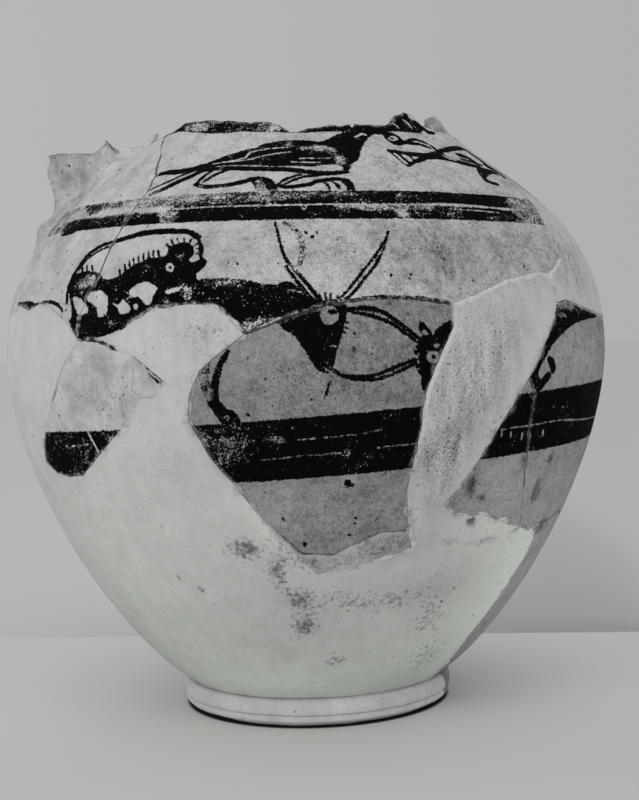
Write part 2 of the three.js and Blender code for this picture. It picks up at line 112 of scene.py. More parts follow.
def bezier(a, b, c, d):
    t = np.linspace(0, 1, STEPS_EACH)[:, None]
    a, b, c, d = (np.array(p, float) for p in (a, b, c, d))
    return a * (1 - t) ** 3 + 3 * b * t * (1 - t) ** 2 + 3 * c * t**2 * (1 - t) + d * t**3


def hold_point(place, direction, length):
    return (place[0] + length * math.cos(direction), place[1] + length * math.sin(direction))


def wall_curve():
    foot_aim = hold_point(FOOT_END, FOOT_FLARE, FOOT_HOLD)
    neck_aim = hold_point(NECK_END, -NECK_SLOPE, NECK_HOLD)
    lower = bezier(FOOT_END, foot_aim, (BELLY[0], BELLY[1] - BELLY_HOLD_BELOW), BELLY)
    upper = bezier(BELLY, (BELLY[0], BELLY[1] + BELLY_HOLD_ABOVE), neck_aim, NECK_END)
    return np.concatenate([lower, upper[1:]])


CURVE = wall_curve()
ALONG = np.concatenate([[0], np.cumsum(np.hypot(*np.diff(CURVE, axis=0).T))])
SLOPE = np.gradient(CURVE, ALONG, axis=0)


def radius_at(s):
    return np.interp(s, ALONG, CURVE[:, 0])


def height_at(s):
    return np.interp(s, ALONG, CURVE[:, 1])


def along_at(height):
    return np.interp(height, CURVE[:, 1], ALONG)


def on_wall(angle, s, depth=0.0):
    """Points on the wall, or a depth behind it, as x, y, z in millimetres."""
    rise_r, rise_z = (np.interp(s, ALONG, SLOPE[:, k]) for k in (0, 1))
    r = radius_at(s) - depth * rise_z
    z = height_at(s) + depth * rise_r
    return np.stack([r * np.sin(angle), -r * np.cos(angle), z], axis=-1)


print("the curve is", round(float(ALONG[-1])), "mm long")

# %% [markdown]
# ## Unevenness that is the same on every run
# Hand-made clay is never smooth. The noise here is worked out from the place alone, by hashing
# the corners of a lattice, so two sherds that meet along a break get the same waviness, and
# each run gives the same jar.

# %% Seeded noise
def hashed(i, j, k, seed):
    n = (i * 374761393 + j * 668265263 + k * 1274126177 + seed * 974634777) & 0xFFFFFFFF
    n = ((n ^ (n >> 13)) * 1274126177) & 0xFFFFFFFF
    return ((n ^ (n >> 16)) & 0xFFFF) / 32767.5 - 1


def noise(points, size, seed):
    """Smooth noise between -1 and 1, with bumps about one size apart."""
    q = points / size
    low = np.floor(q).astype(np.int64)
    f = q - low
    f = f * f * (3 - 2 * f)
    total = 0
    for a in (0, 1):
        for b in (0, 1):
            for c in (0, 1):
                share = np.where(a, f[..., 0], 1 - f[..., 0])
                share = share * np.where(b, f[..., 1], 1 - f[..., 1])
                share = share * np.where(c, f[..., 2], 1 - f[..., 2])
                corner = hashed(low[..., 0] + a, low[..., 1] + b, low[..., 2] + c, seed)
                total = total + share * corner
    return total


def rough(points, size, seed, octaves=3):
    return sum(noise(points, size / 2**k, seed + k) / 2**k for k in range(octaves))


# %% [markdown]
# ## The outline of each broken piece
# The breaks are already cut in the CAD part. Its outer faces are picked out by their place and
# direction, the edges that only one of them uses make a closed loop, and each corner of the
# loop is moved to the nearest place on the true curve. No break has to be written down twice.

# %% Outlines from the CAD part
OUTER_REACH = 4.5
FACING_OUT = 0.5


def mesh_arrays(node):
    mesh = frame["nodes"][node].data
    places = np.empty(len(mesh.vertices) * 3)
    mesh.vertices.foreach_get("co", places)
    mesh.calc_loop_triangles()
    faces = np.empty(len(mesh.loop_triangles) * 3, np.int64)
    mesh.loop_triangles.foreach_get("vertices", faces)
    places, same = np.unique(np.round(places.reshape(-1, 3) * 1000, 3), axis=0, return_inverse=True)
    return places, same.ravel()[faces].reshape(-1, 3)


def nearest_on_curve(places):
    """The place along the curve nearest to each point, and how far behind the curve it is."""
    flat = np.stack([np.hypot(places[:, 0], places[:, 1]), places[:, 2]], axis=1)
    s, behind = np.empty(len(flat)), np.empty(len(flat))
    for i, point in enumerate(flat):
        k = int(np.argmin(((CURVE - point) ** 2).sum(axis=1)))
        gap = point - CURVE[k]
        s[i] = ALONG[k] + gap @ SLOPE[k]
        behind[i] = -gap[0] * SLOPE[k, 1] + gap[1] * SLOPE[k, 0]
    return s, behind


def loops_of(faces):
    """Closed loops of the edges that only one face uses, each as a list of corners."""
    edges = np.concatenate([faces[:, [0, 1]], faces[:, [1, 2]], faces[:, [2, 0]]])
    key = edges.min(axis=1) * (edges.max() + 1) + edges.max(axis=1)
    _, first, count = np.unique(key, return_index=True, return_counts=True)
    after = {}
    for a, b in edges[first[count == 1]]:
        after.setdefault(int(a), []).append(int(b))
    loops, path = [], []
    while after or path:
        if not path:
            path = [next(iter(after))]
        here = after[path[-1]].pop()
        if not after[path[-1]]:
            del after[path[-1]]
        path.append(here)
        if here in path[:-1]:
            start = path.index(here)
            loops.append(path[start:-1])
            path = path[:start + 1] if start else []
    return loops


def outline_of(node):
    """The node's outer outline as angle and length along the curve."""
    places, faces = mesh_arrays(node)
    s, behind = nearest_on_curve(places)
    a, b, c = (places[faces[:, k]] for k in range(3))
    normal = np.cross(b - a, c - a)
    normal /= np.linalg.norm(normal, axis=1, keepdims=True) + 1e-12
    middle = (a + b + c) / 3
    angle = np.arctan2(middle[:, 0], -middle[:, 1])
    where = s[faces].mean(axis=1)
    out_r = np.interp(where, ALONG, SLOPE[:, 1])
    out_z = -np.interp(where, ALONG, SLOPE[:, 0])
    out = np.stack([out_r * np.sin(angle), -out_r * np.cos(angle), out_z], axis=1)
    outer = (behind[faces] < OUTER_REACH).all(axis=1) & ((normal * out).sum(axis=1) > FACING_OUT)
    loops = sorted(loops_of(faces[outer]), key=len)
    loop = loops[-1]
    ring = np.unwrap(np.arctan2(places[loop, 0], -places[loop, 1]))
    return np.stack([ring, s[loop]], axis=1), len(loops)


WALL_NODES = [
    name for name in frame["nodes"]
    if "sherd" in name or "fill" in name or "chip" in name
    if not name.startswith("floor")
]
OUTLINES = {}
for name in sorted(WALL_NODES):
    OUTLINES[name], found = outline_of(name)
    print(name, "outline of", len(OUTLINES[name]), "corners,", found, "loop")

# %% [markdown]
# ## Breaks with a grain
# Coarse clay doesn't break in straight lines. Each outline is divided into short steps and every
# step is moved by noise that depends only on its place, so both sides of a crack still fit.
# Near the broken neck nothing was glued on, and the edge there is rougher.

# %% Rough outlines
STEP = 1.2
BREAK_AMOUNT = 0.5
RIM_AMOUNT = 1.1
RIM_HEIGHT = (362.0, 372.0)
BREAK_GRAIN = 7
CALM_AT_FOOT = (1, 8)


def ramp(value, low, high):
    share = np.clip((value - low) / (high - low), 0, 1)
    return share * share * (3 - 2 * share)


def rough_outline(outline):
    following = np.roll(outline, -1, axis=0)
    following[-1, 0] += 2 * math.pi * round((outline[-1, 0] - following[-1, 0]) / (2 * math.pi))
    points = []
    for here, ahead in zip(outline, following):
        r = float(radius_at((here[1] + ahead[1]) / 2))
        length = math.hypot((ahead[0] - here[0]) * r, ahead[1] - here[1])
        parts = max(1, math.ceil(length / STEP))
        points += [here + (ahead - here) * k / parts for k in range(parts)]
    points = np.array(points)
    place = on_wall(points[:, 0], points[:, 1])
    amount = BREAK_AMOUNT + (RIM_AMOUNT - BREAK_AMOUNT) * ramp(place[:, 2], *RIM_HEIGHT)
    amount = amount * ramp(points[:, 1], *CALM_AT_FOOT)
    points[:, 0] += rough(place, BREAK_GRAIN, seed=11) * amount / radius_at(points[:, 1])
    points[:, 1] += rough(place, BREAK_GRAIN, seed=31) * amount
    points[:, 1] = points[:, 1].clip(0, ALONG[-1])
    return points


ROUGH = {name: rough_outline(outline) for name, outline in OUTLINES.items()}
print("points along all breaks:", sum(len(points) for points in ROUGH.values()))

# %% [markdown]
# ## Distances on the wall
# A piece is laid out as a fine grid of angle and length along the curve. Its outline, and later
# each brush stroke, becomes a field on that grid: the distance to the line, negative inside.
# Only the grid points near a line are worked out, which keeps it quick.

# %% Distance fields on a grid
REACH = 9.0
SPARE_CELLS = 6


class Patch:
    """A grid on the wall: columns are angles, rows are lengths along the curve."""

    def __init__(self, outline, spacing):
        low, high = outline.min(axis=0), outline.max(axis=0)
        widest = radius_at(np.linspace(low[1], high[1], 50)).max()
        margin = 2 * spacing
        columns = int((high[0] - low[0]) * widest / spacing) + SPARE_CELLS
        rows = int((high[1] - low[1]) / spacing) + SPARE_CELLS
        self.angles = np.linspace(low[0] - margin / widest, high[0] + margin / widest, columns)
        self.alongs = np.linspace(low[1] - margin, high[1] + margin, rows)
        self.shape = (rows, columns)
        self.middle = (low[0] + high[0]) / 2

    def window(self, low, high, reach):
        r = float(radius_at((low[1] + high[1]) / 2))
        rows = slice(*np.searchsorted(self.alongs, (low[1] - reach, high[1] + reach)))
        columns = slice(*np.searchsorted(self.angles, (low[0] - reach / r, high[0] + reach / r)))
        return rows, columns, r

    def beside(self, points):
        """The points turned by whole turns until they lie by this patch."""
        points = np.array(points, float)
        points[:, 0] += 2 * math.pi * round((self.middle - points[:, 0].mean()) / (2 * math.pi))
        return points

    def to_line(self, points, widths, closed=False, reach=REACH):
        """Distance to the edge of a line that is as wide as widths says at each point."""
        field = np.full(self.shape, reach)
        ends = np.roll(points, -1, axis=0) if closed else points[1:]
        width_ends = np.roll(widths, -1) if closed else widths[1:]
        for a, b, wide_a, wide_b in zip(points, ends, widths, width_ends):
            rows, columns, r = self.window(np.minimum(a, b), np.maximum(a, b), reach)
            if rows.start == rows.stop or columns.start == columns.stop:
                continue
            x = (self.angles[columns] - a[0])[None, :] * r
            y = (self.alongs[rows] - a[1])[:, None]
            step = np.array([(b[0] - a[0]) * r, b[1] - a[1]])
            share = ((x * step[0] + y * step[1]) / max(step @ step, 1e-9)).clip(0, 1)
            gap = np.hypot(x - share * step[0], y - share * step[1])
            gap -= (wide_a + (wide_b - wide_a) * share) / 2
            field[rows, columns] = np.minimum(field[rows, columns], gap)
        return field

    def inside(self, points):
        odd = np.zeros(self.shape, bool)
        for a, b in zip(points, np.roll(points, -1, axis=0)):
            if a[1] == b[1]:
                continue
            rows = slice(*np.searchsorted(self.alongs, sorted((a[1], b[1]))))
            cross = a[0] + (self.alongs[rows] - a[1]) / (b[1] - a[1]) * (b[0] - a[0])
            odd[rows] ^= self.angles[None, :] > cross[:, None]
        return odd

    def to_area(self, points, reach=REACH):
        """Distance to a closed outline, negative inside it."""
        field = self.to_line(points, np.zeros(len(points)), closed=True, reach=reach)
        return np.where(self.inside(points), -field, field)

    def grid(self):
        """The angle and the length along the curve of every grid point."""
        return np.meshgrid(self.angles, self.alongs)

    def read(self, field, points):
        """The field at any points, between the four grid points around each."""
        x = (points[:, 0] - self.angles[0]) / (self.angles[1] - self.angles[0])
        y = (points[:, 1] - self.alongs[0]) / (self.alongs[1] - self.alongs[0])
        i = y.astype(int).clip(0, self.shape[0] - 2)
        j = x.astype(int).clip(0, self.shape[1] - 2)
        x, y = x - j, y - i
        above = field[i, j] * (1 - x) + field[i, j + 1] * x
        below = field[i + 1, j] * (1 - x) + field[i + 1, j + 1] * x
        return above * (1 - y) + below * y


print("distances are kept up to", REACH, "mm from a line")

# %% [markdown]
# ## Triangles where they are needed
# A sheet of wall is filled with triangles between its outline and chosen grid points. All the
# grid points are used along the edge of the paint, every second one near a break, and every
# fourth one elsewhere, so brush strokes are sharp and the mesh stays small.

# %% Points and triangles of a sheet
NEAR_PAINT = 0.9
NEAR_STROKE = 3.0
NEAR_BREAK = 4.0
CLEAR_OF_BREAK = 0.7


def chosen(to_edge, ink, spacing):
    """Which grid points to use, from the distances to the break and to the paint's edge."""
    i, j = np.indices(to_edge.shape)
    second = (i % 2 == 0) & (j % 2 == 0)
    fourth = (i % 4 == 0) & (j % 4 == 0)
    close = np.abs(ink) < NEAR_PAINT
    nearby = (np.abs(ink) < NEAR_STROKE) | (to_edge > -NEAR_BREAK)
    return (close | (nearby & second) | fourth) & (to_edge < -CLEAR_OF_BREAK * spacing)


def filled(ring, inner):
    """Triangles between the corners of a closed ring and the points inside it."""
    points = np.concatenate([ring, inner])
    r = float(radius_at(ring[:, 1].mean()))
    flat = [Vector((angle * r, along)) for angle, along in points]
    made, _, faces, origin, _, _ = delaunay_2d_cdt(flat, [], [list(range(len(ring)))], 1, 1e-7)
    to_made = np.full(len(points), -1)
    for new, olds in enumerate(origin):
        to_made[olds] = new
    places = np.array([(v[0] / r, v[1]) for v in made])
    return places, np.array([list(f) for f in faces if len(f) == 3]), to_made[:len(ring)]


def trimmed(faces):
    """The faces without the specks that hang on by one corner, and the loop round them."""
    loops = sorted(loops_of(faces), key=len)
    for loop in loops[:-1]:
        faces = faces[~np.isin(faces, loop).all(axis=1)]
    return faces, np.array(loops[-1])


# %% [markdown]
# ## A sherd as a closed solid
# The sheet is the outer face. Under its edge come narrow strips down through the wall, which
# are the fracture, and the inner face closes the piece. The outer edge is worn round, the
# fracture is gritty where nothing is glued to it, and the inner face has the rings that the
# potter's fingers leave.

# %% Building a piece of the wall
FRACTURE_ROWS = 9
RING_PITCH = 11.0
RING_DEPTH = 0.5
INNER_STEP = 3.5
INNER_SINK = 0.4
INNER_CLEAR = 0.6
BESIDE = 1.5
SHARP_DEGREES = 38
PIECES = {}


def break_tree():
    """All points along the breaks, to be found by place, and whose each point is."""
    owners = np.concatenate([np.full(len(points), k) for k, points in enumerate(ROUGH.values())])
    tree = KDTree(len(owners))
    for i, place in enumerate(np.concatenate([on_wall(*points.T) for points in ROUGH.values()])):
        tree.insert(place, i)
    tree.balance()
    return tree, owners


BREAKS, OWNERS = break_tree()


def neighbours(name, places):
    """Two numbers for each place on an edge: 1 where no piece is beside it, and 1 where
    plaster or the chip is, which hide the crack."""
    names = list(ROUGH)
    near = [{names[OWNERS[i]] for _, i, _ in BREAKS.find_range(place, BESIDE)} - {name}
            for place in places]
    free = [0.0 if others else 1.0 for others in near]
    chip = name.endswith("_chip")
    hidden = [1.0 if chip or any("_fill" in other or "_chip" in other for other in others)
              else 0.0 for others in near]
    return np.array(free), np.array(hidden)


def spread(ring, values, points, near):
    """Values on a ring of places, carried to the points that are near it."""
    tree = KDTree(len(ring))
    for i, place in enumerate(ring):
        tree.insert(place, i)
    tree.balance()
    carried = np.zeros(len(points))
    for i in np.nonzero(near)[0]:
        carried[i] = values[tree.find(points[i])[1]]
    return carried


def inner_points(patch, to_edge):
    """Sparse grid points for the inner face."""
    each = max(1, round(INNER_STEP / (patch.alongs[1] - patch.alongs[0])))
    angle, along = (values[::each, ::each] for values in patch.grid())
    deep = to_edge[::each, ::each] < -INNER_STEP * INNER_CLEAR
    return np.stack([angle[deep], along[deep]], axis=1)


def new_mesh(name, places, faces, slots, materials, layers):
    mesh = bpy.data.meshes.new(name)
    mesh.vertices.add(len(places))
    mesh.vertices.foreach_set("co", (places / 1000).astype(np.float32).ravel())
    mesh.loops.add(faces.size)
    mesh.loops.foreach_set("vertex_index", faces.astype(np.int32).ravel())
    mesh.polygons.add(len(faces))
    mesh.polygons.foreach_set("loop_start", np.arange(0, faces.size, 3, dtype=np.int32))
    mesh.polygons.foreach_set("material_index", slots.astype(np.int32))
    mesh.polygons.foreach_set("use_smooth", np.ones(len(faces), bool))
    mesh.update(calc_edges=True)
    mesh.validate()
    for key, values in layers.items():
        layer = mesh.attributes.new(key, "FLOAT", "POINT")
        layer.data.foreach_set("value", values.astype(np.float32))
    mesh.set_sharp_from_angle(angle=math.radians(SHARP_DEGREES))
    for material in materials:
        mesh.materials.append(material)
    return mesh


def add_piece(mesh, node):
    """Puts a mesh in the scene in place of the CAD node."""
    piece = bpy.data.objects.new(node + "_piece", mesh)
    bpy.context.scene.collection.objects.link(piece)
    PIECES[node] = piece
    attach(piece, "root")
    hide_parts(node)
    return piece


def outward(ring):
    """The direction out of a closed ring at each corner, along the wall, in mm."""
    ahead, behind = np.roll(ring, -1, axis=0), np.roll(ring, 1, axis=0)
    turn = ahead[:, 0] - behind[:, 0]
    turn -= 2 * math.pi * np.round(turn / (2 * math.pi))
    step = np.stack([turn * radius_at(ring[:, 1]), ahead[:, 1] - behind[:, 1]], axis=1)
    step /= np.linalg.norm(step, axis=1, keepdims=True) + 1e-9
    return np.stack([step[:, 1], -step[:, 0]], axis=1)


def moved(ring, out, amount):
    """The ring's corners moved by an amount of millimetres along the directions given."""
    shift = out * np.reshape(amount, (-1, 1))
    angle = ring[:, 0] + shift[:, 0] / radius_at(ring[:, 1])
    return np.stack([angle, (ring[:, 1] + shift[:, 1]).clip(0, ALONG[-1])], axis=1)


def fracture(ring, out, depth, free, first):
    """Rows of corners down through the wall, gritty where nothing is glued on."""
    rows, places = [], []
    for k in range(1, FRACTURE_ROWS):
        share = k / FRACTURE_ROWS
        deep = depth * (1 - share) + (WALL - INNER_SINK) * share
        flat = on_wall(*ring.T, deep)
        grit = 1.1 * rough(flat, 6, seed=51) + 0.35 * rough(flat, 2, seed=57, octaves=2)
        row = moved(ring, out, grit * math.sin(math.pi * share) * free)
        places.append(on_wall(*row.T, deep))
        rows.append(np.arange(len(ring)) + first + (k - 1) * len(ring))
    return rows, places


def inner_relief(points):
    """The potter's finger rings, as a depth behind the outer face."""
    ring = 0.5 + 0.5 * np.sin(points[:, 1] * 2 * math.pi / RING_PITCH)
    waves = rough(on_wall(*points.T, WALL), 25, seed=61, octaves=2)
    return WALL - RING_DEPTH * ring - 0.15 * (1 + waves)


def outer_sheet(patch, ring, to_edge, ink, spacing):
    """The outer face as points and triangles, and the loop of points round it."""
    angle, along = patch.grid()
    use = chosen(to_edge, ink, spacing)
    points, faces, _ = filled(ring, np.stack([angle[use], along[use]], axis=1))
    points[:, 1] = points[:, 1].clip(0, ALONG[-1])
    faces, loop = trimmed(faces)
    return points, faces, loop


def inner_sheet(patch, ring, to_edge):
    """The inner face in the same way."""
    points, faces, loop = filled(ring, inner_points(patch, to_edge))
    points[:, 1] = points[:, 1].clip(0, ALONG[-1])
    return points, faces[:, ::-1], loop


def strips_between(rows):
    """Triangles between each closed row of corners and the next one down."""
    strips = []
    for upper, lower in zip(rows, rows[1:]):
        ahead, below = np.roll(upper, -1), np.roll(lower, -1)
        strips += [np.stack([ahead, upper, lower], axis=1), np.stack([ahead, lower, below], axis=1)]
    return strips


def corner_layers(patch, fields, points, inner, count):
    """Each painted field at every corner: the outer face's come first, the inner face's from
    count on, and only the tone is the same on both."""
    layers = {}
    for key, field in fields.items():
        layers[key] = np.full(count + len(inner), REACH if key == "ink" else 0.0)
        layers[key][:len(points)] = patch.read(field, points)
        if key == "tone":
            layers[key][count:] = patch.read(field, inner)
    return layers


# %% A whole piece
def wall_piece(node, spacing, grow, relief, painting, materials):
    """One sherd or fill; its relief and painted fields are functions of places or a patch."""
    patch = Patch(ROUGH[node], spacing * (1))
    ring = patch.beside(ROUGH[node])
    ring = moved(ring, outward(ring), grow)
    to_edge = patch.to_area(ring)
    fields = painting(patch)
    ink = fields.get("ink", np.full(patch.shape, REACH))
    points, faces, loop = outer_sheet(patch, ring, to_edge, ink, spacing)
    ring = points[loop]
    edge = -patch.read(to_edge, points).clip(-REACH, 0)
    edge[loop] = 0
    depth = relief(on_wall(*points.T), edge)
    outer = on_wall(*points.T, depth)
    free, beside = neighbours(node, on_wall(*ring.T))
    rows, places = fracture(ring, outward(ring), depth[loop], free, len(outer))
    inner, inner_faces, inner_loop = inner_sheet(patch, ring, to_edge)
    count = len(outer) + sum(len(row) for row in rows)
    places = np.concatenate([outer, *places, on_wall(*inner.T, inner_relief(inner))])
    strips = strips_between([loop, *rows, inner_loop + count])
    slots = np.ones(len(faces) + sum(map(len, strips)) + len(inner_faces), int)
    slots[:len(faces)] = 0
    faces = np.concatenate([faces, *strips, inner_faces + count])
    layers = {"edge": np.full(len(places), REACH), "fill": np.zeros(len(places))}
    layers["edge"][:len(edge)] = edge
    layers["fill"][:len(outer)] = spread(outer[loop], beside, outer, edge < REACH)
    layers.update(corner_layers(patch, fields, points, inner, count))
    mesh = new_mesh(node + "_piece", places, faces, slots, materials, layers)
    print(mesh.name, "has", len(faces), "triangles, free edge", round(float(free.mean()), 2))
    return add_piece(mesh, node)


# %% [markdown]
# ## Node trees as plain expressions
# Materials and Geometry Nodes are written as sums and products of node outputs. The small class
# below wraps one socket and adds a Math node for each operator, and one method makes any other
# node: its type, then its settings, then what goes into its sockets.

# %% Sockets that can be added and multiplied
class Socket:
    def __init__(self, graph, socket):
        self.graph = graph
        self.socket = socket

    def op(self, operation, *others):
        values = dict(enumerate((self, *others)))
        return self.graph.node("ShaderNodeMath", {"operation": operation}, values)

    def __add__(self, other):
        return self.op("ADD", other)

    def __sub__(self, other):
        return self.op("SUBTRACT", other)

    def __mul__(self, other):
        return self.op("MULTIPLY", other)

    def __truediv__(self, other):
        return self.op("DIVIDE", other)

    def __radd__(self, other):
        return self.op("ADD", other)

    def __rmul__(self, other):
        return self.op("MULTIPLY", other)

    def __rtruediv__(self, other):
        return self.graph.node("ShaderNodeMath", {"operation": "DIVIDE"}, {0: other, 1: self})

    def __rsub__(self, other):
        return self.graph.node("ShaderNodeMath", {"operation": "SUBTRACT"}, {0: other, 1: self})

    def __neg__(self):
        return 0 - self

    def either(self, other):
        return self.op("MAXIMUM", other)

    def smooth(self, low, high):
        """0 below low, 1 above high and a soft step between; high may be the smaller one."""
        if high < low:
            return 1 - self.smooth(high, low)
        settings = {"interpolation_type": "SMOOTHSTEP"}
        return self.graph.node("ShaderNodeMapRange", settings, {0: self, 1: low, 2: high})


# %% Trees and materials
DRY_GLOSS = 0.03


def set_points(mapping, points):
    """Makes a curve of straight lines through points, from 0 to 1 both ways."""
    curve = mapping.curves[0]
    curve.points[0].location = points[0]
    for point in points[1:-1]:
        curve.points.new(*point)
    curve.points[-1].location = points[-1]
    for point in curve.points:
        point.handle_type = "VECTOR"
    mapping.update()


class Graph:
    """A node tree."""

    def __init__(self, tree):
        self.tree = tree

    def link(self, value, socket):
        if isinstance(value, Socket):
            self.tree.links.new(value.socket, socket)
        else:
            socket.default_value = value

    def node(self, kind, settings, values, output=0):
        """Makes a node, sets it up, fills its sockets, and gives one of its outputs."""
        made = self.tree.nodes.new(kind)
        for key, value in settings.items():
            if key == "points":
                set_points(made.mapping, value)
            else:
                setattr(made, key, value)
        for key, value in values.items():
            self.link(value, made.inputs[key])
        return Socket(self, made.outputs[output]) if made.outputs else None


class Finish(Graph):
    """A material and the tree that makes it."""

    def __init__(self, name):
        self.material = bpy.data.materials.new(name)
        self.material.use_nodes = True
        super().__init__(self.material.node_tree)
        self.shader = next(n for n in self.tree.nodes if n.type == "BSDF_PRINCIPLED")
        self.place = self.node("ShaderNodeTexCoord", {}, {}, "Object")
        self.grains = {}

    def layer(self, name):
        """A number painted on the mesh."""
        return self.node("ShaderNodeAttribute", {"attribute_name": name}, {}, "Fac")

    def grain(self, size, detail=3.0, roughness=0.55, stretch=None):
        """Noise from 0 to 1 with features of a size in millimetres, made once for all its uses."""
        key = (size, detail, roughness, stretch)
        if key not in self.grains:
            place = self.place
            if stretch:
                place = self.node("ShaderNodeMapping", {}, {"Vector": place, "Scale": stretch})
            self.grains[key] = self.node("ShaderNodeTexNoise", {}, {
                "Vector": place, "Scale": 1000.0 / size, "Detail": detail, "Roughness": roughness,
            }, "Fac")
        return self.grains[key]

    def pits(self, size):
        """Distance to scattered points, in shares of their spacing."""
        values = {"Vector": self.place, "Scale": 1000.0 / size, "Randomness": 1.0}
        return self.node("ShaderNodeTexVoronoi", {}, values, "Distance")

    def mixed(self, share, first, second):
        """The first colour, with a share of the second in it."""
        values = {0: share, 6: first, 7: second}
        return self.node("ShaderNodeMix", {"data_type": "RGBA"}, values, 2)

    def scaled(self, colour, amount):
        """A colour times a number that varies over the surface."""
        amounts = self.node("ShaderNodeCombineXYZ", {}, {0: amount, 1: amount, 2: amount})
        values = {0: colour[:3], 1: amounts}
        return self.node("ShaderNodeVectorMath", {"operation": "MULTIPLY"}, values)

    def done(self, colour, height, depth):
        """A dry surface of this colour, with bumps of a depth in millimetres."""
        bump = {"Height": height, "Distance": depth / 1000, "Strength": 1.0}
        self.link(self.node("ShaderNodeBump", {}, bump), self.shader.inputs["Normal"])
        self.link(colour, self.shader.inputs["Base Color"])
        self.shader.inputs["Roughness"].default_value = 1.0
        self.shader.inputs["Specular IOR Level"].default_value = DRY_GLOSS
        return self.material


def grey(level):
    """A colour with the faint green of the old print, from its brightness."""
    return (level * 0.97, level, level * 0.96, 1.0)


# %% [markdown]
# ## The clay and its paint
# The finishes are dry and matt, so nearly all of the look is in how bright the surface is from
# place to place. The clay has slow clouds, fine grit, pits and stains. The paint is a distance
# field on the mesh, so its edge is sharp; noise eats into it where it has flaked, along the
# way that the potter's wheel turned.

# %% Clay
BLACK = 0.002
CRACK = 0.03
SMEAR = 0.46


def fine_grains(f):
    """The three grains that every part of a painted finish shares."""
    return f.grain(1.1, 2, 0.6), f.grain(3, 5, 0.75), f.grain(14, 7, 0.7)


def specks(f):
    """Scattered pits of three sizes, in patches."""
    middling = f.pits(5.5).smooth(0.14, 0.07) * f.grain(22, 3).smooth(0.5, 0.56)
    large = f.pits(12).smooth(0.09, 0.05) * f.grain(35, 2).smooth(0.46, 0.52)
    small = f.pits(2.4).smooth(0.22, 0.12) * f.grain(16, 4).smooth(0.57, 0.62)
    return middling.either(large).either(small)


def clay_shade(f, dirt, grit):
    """How bright the clay is, where 1 is plain; its grit is painted fainter at the left, as painted
    light where the window lamp washes it out.
    """
    tone, stain = f.layer("tone"), f.layer("stain")
    grain, fine, mid = fine_grains(f)
    # Painted light: towards the left, where the window lamp falls, less grit shows.
    away = f.node("ShaderNodeSeparateXYZ", {}, {0: f.place}, 0).smooth(-0.13, 0.03)
    grit = (away * 0.7 + 0.3) * grit
    shade = 1 + tone + (f.grain(65, 4) - 0.5) * 0.5 * dirt + (mid - 0.5) * 2.4 * dirt
    shade = shade + (fine - 0.5) * 4.2 * grit + (grain - 0.5) * 3.4 * grit
    shade = shade + (f.grain(5, 4, 0.7, (1.0, 1.0, 0.22)) - 0.5) * stain * 3.5
    cloud = f.grain(24, 7, 0.72).smooth(0.5, 0.68) * f.grain(90, 3).smooth(0.4, 0.58)
    dark = (stain * 1.7 + (mid - 0.5) * 3.2 + (fine - 0.5) * 5 - 0.5).smooth(0.0, 1.4)
    return shade * (1 - cloud * 0.3 * dirt) * (1 - dark * 0.65)


# %% Paint
def paint_cover(f):
    """How much of the clay paint covers: none outside the strokes, less where it is worn."""
    ink, worn = f.layer("ink"), f.layer("worn")
    grain, _, _ = fine_grains(f)
    ragged = (f.grain(3.2, 5, 0.8) - 0.5) * 5.5 + (grain - 0.5) * 2.5
    streaks = f.grain(7, 6, 0.75, (0.35, 0.35, 1.0))
    eaten = (f.grain(5, 7, 0.78) - 0.5) * 0.9 + (streaks - 0.5) * 0.7 + (grain - 0.5) * 0.9
    painted = (ink + ragged * 0.6).smooth(0.35, -0.15)
    kept = (eaten + worn - 0.015).smooth(0.3, 0.2)
    thin = 1 - (eaten + worn * 2 - 0.25).smooth(0.0, 0.4) * 0.6
    return painted * kept * thin


# %% Painted clay
def painted_clay(name, level, dirt, grit):
    """Slip or clay of a brightness, with paint, pits, pale rims, cracks and plaster smears."""
    f = Finish(name)
    grain, fine, mid = fine_grains(f)
    edge, fill = f.layer("edge"), f.layer("fill")
    shade, speck, cover = clay_shade(f, dirt, grit), specks(f), paint_cover(f)
    colour = f.mixed(cover, f.scaled(grey(level), shade * (1 - 0.85 * speck)), grey(BLACK))
    rim = (edge + (mid - 0.5) * 6).smooth(2.4, 0.8) * (fine - 0.05).smooth(0.4, 0.55)
    colour = f.mixed(rim * 0.6, colour, f.scaled(grey(level * 1.25), 1 + f.layer("tone")))
    smear = (edge + (mid - 0.5) * 26 + (fine - 0.5) * 9).smooth(1.6, -0.6)
    smear = smear * fill * (1 - cover * 0.8)
    colour = f.mixed(smear * 0.85, colour, f.scaled(grey(SMEAR), shade))
    crack = (edge + (fine - 0.5) * 1.2).smooth(0.75, 0.3) * (1 - fill)
    crack = crack * (f.grain(30, 2).smooth(0.38, 0.5) * 0.6 + 0.25)
    colour = f.mixed(crack, colour, grey(CRACK))
    height = fine * 0.5 + grain * 0.2 + mid * 0.6 - speck * 0.8 - cover * 0.15 + smear * 0.5
    return f.done(colour, height - crack * 0.8, depth=0.5)


# %% [markdown]
# ## Broken clay and plaster
# Where the clay is broken, and inside, its body shows: coarse, with pale grains of stone in it.
# The museum's plaster is scraped smooth and pale. Where it is dirty it shows the strokes of the
# scraper, and along its edge it keeps a clean ridge.

# %% Broken clay and plaster
def broken_clay():
    f = Finish("broken_clay")
    fine, mid, broad = f.grain(1.4, 3), f.grain(6, 4), f.grain(40, 3)
    stone = f.pits(3.2).smooth(0.34, 0.2) * f.grain(9, 2).smooth(0.52, 0.6)
    shade = 0.85 + f.layer("tone") + (mid - 0.5) * 0.9 + (fine - 0.5) * 0.9 + (broad - 0.5) * 0.5
    colour = f.mixed(stone * 0.7, f.scaled(grey(0.3), shade), grey(0.45))
    return f.done(colour, fine * 0.6 + mid * 0.8 + stone * 0.8, depth=0.9)


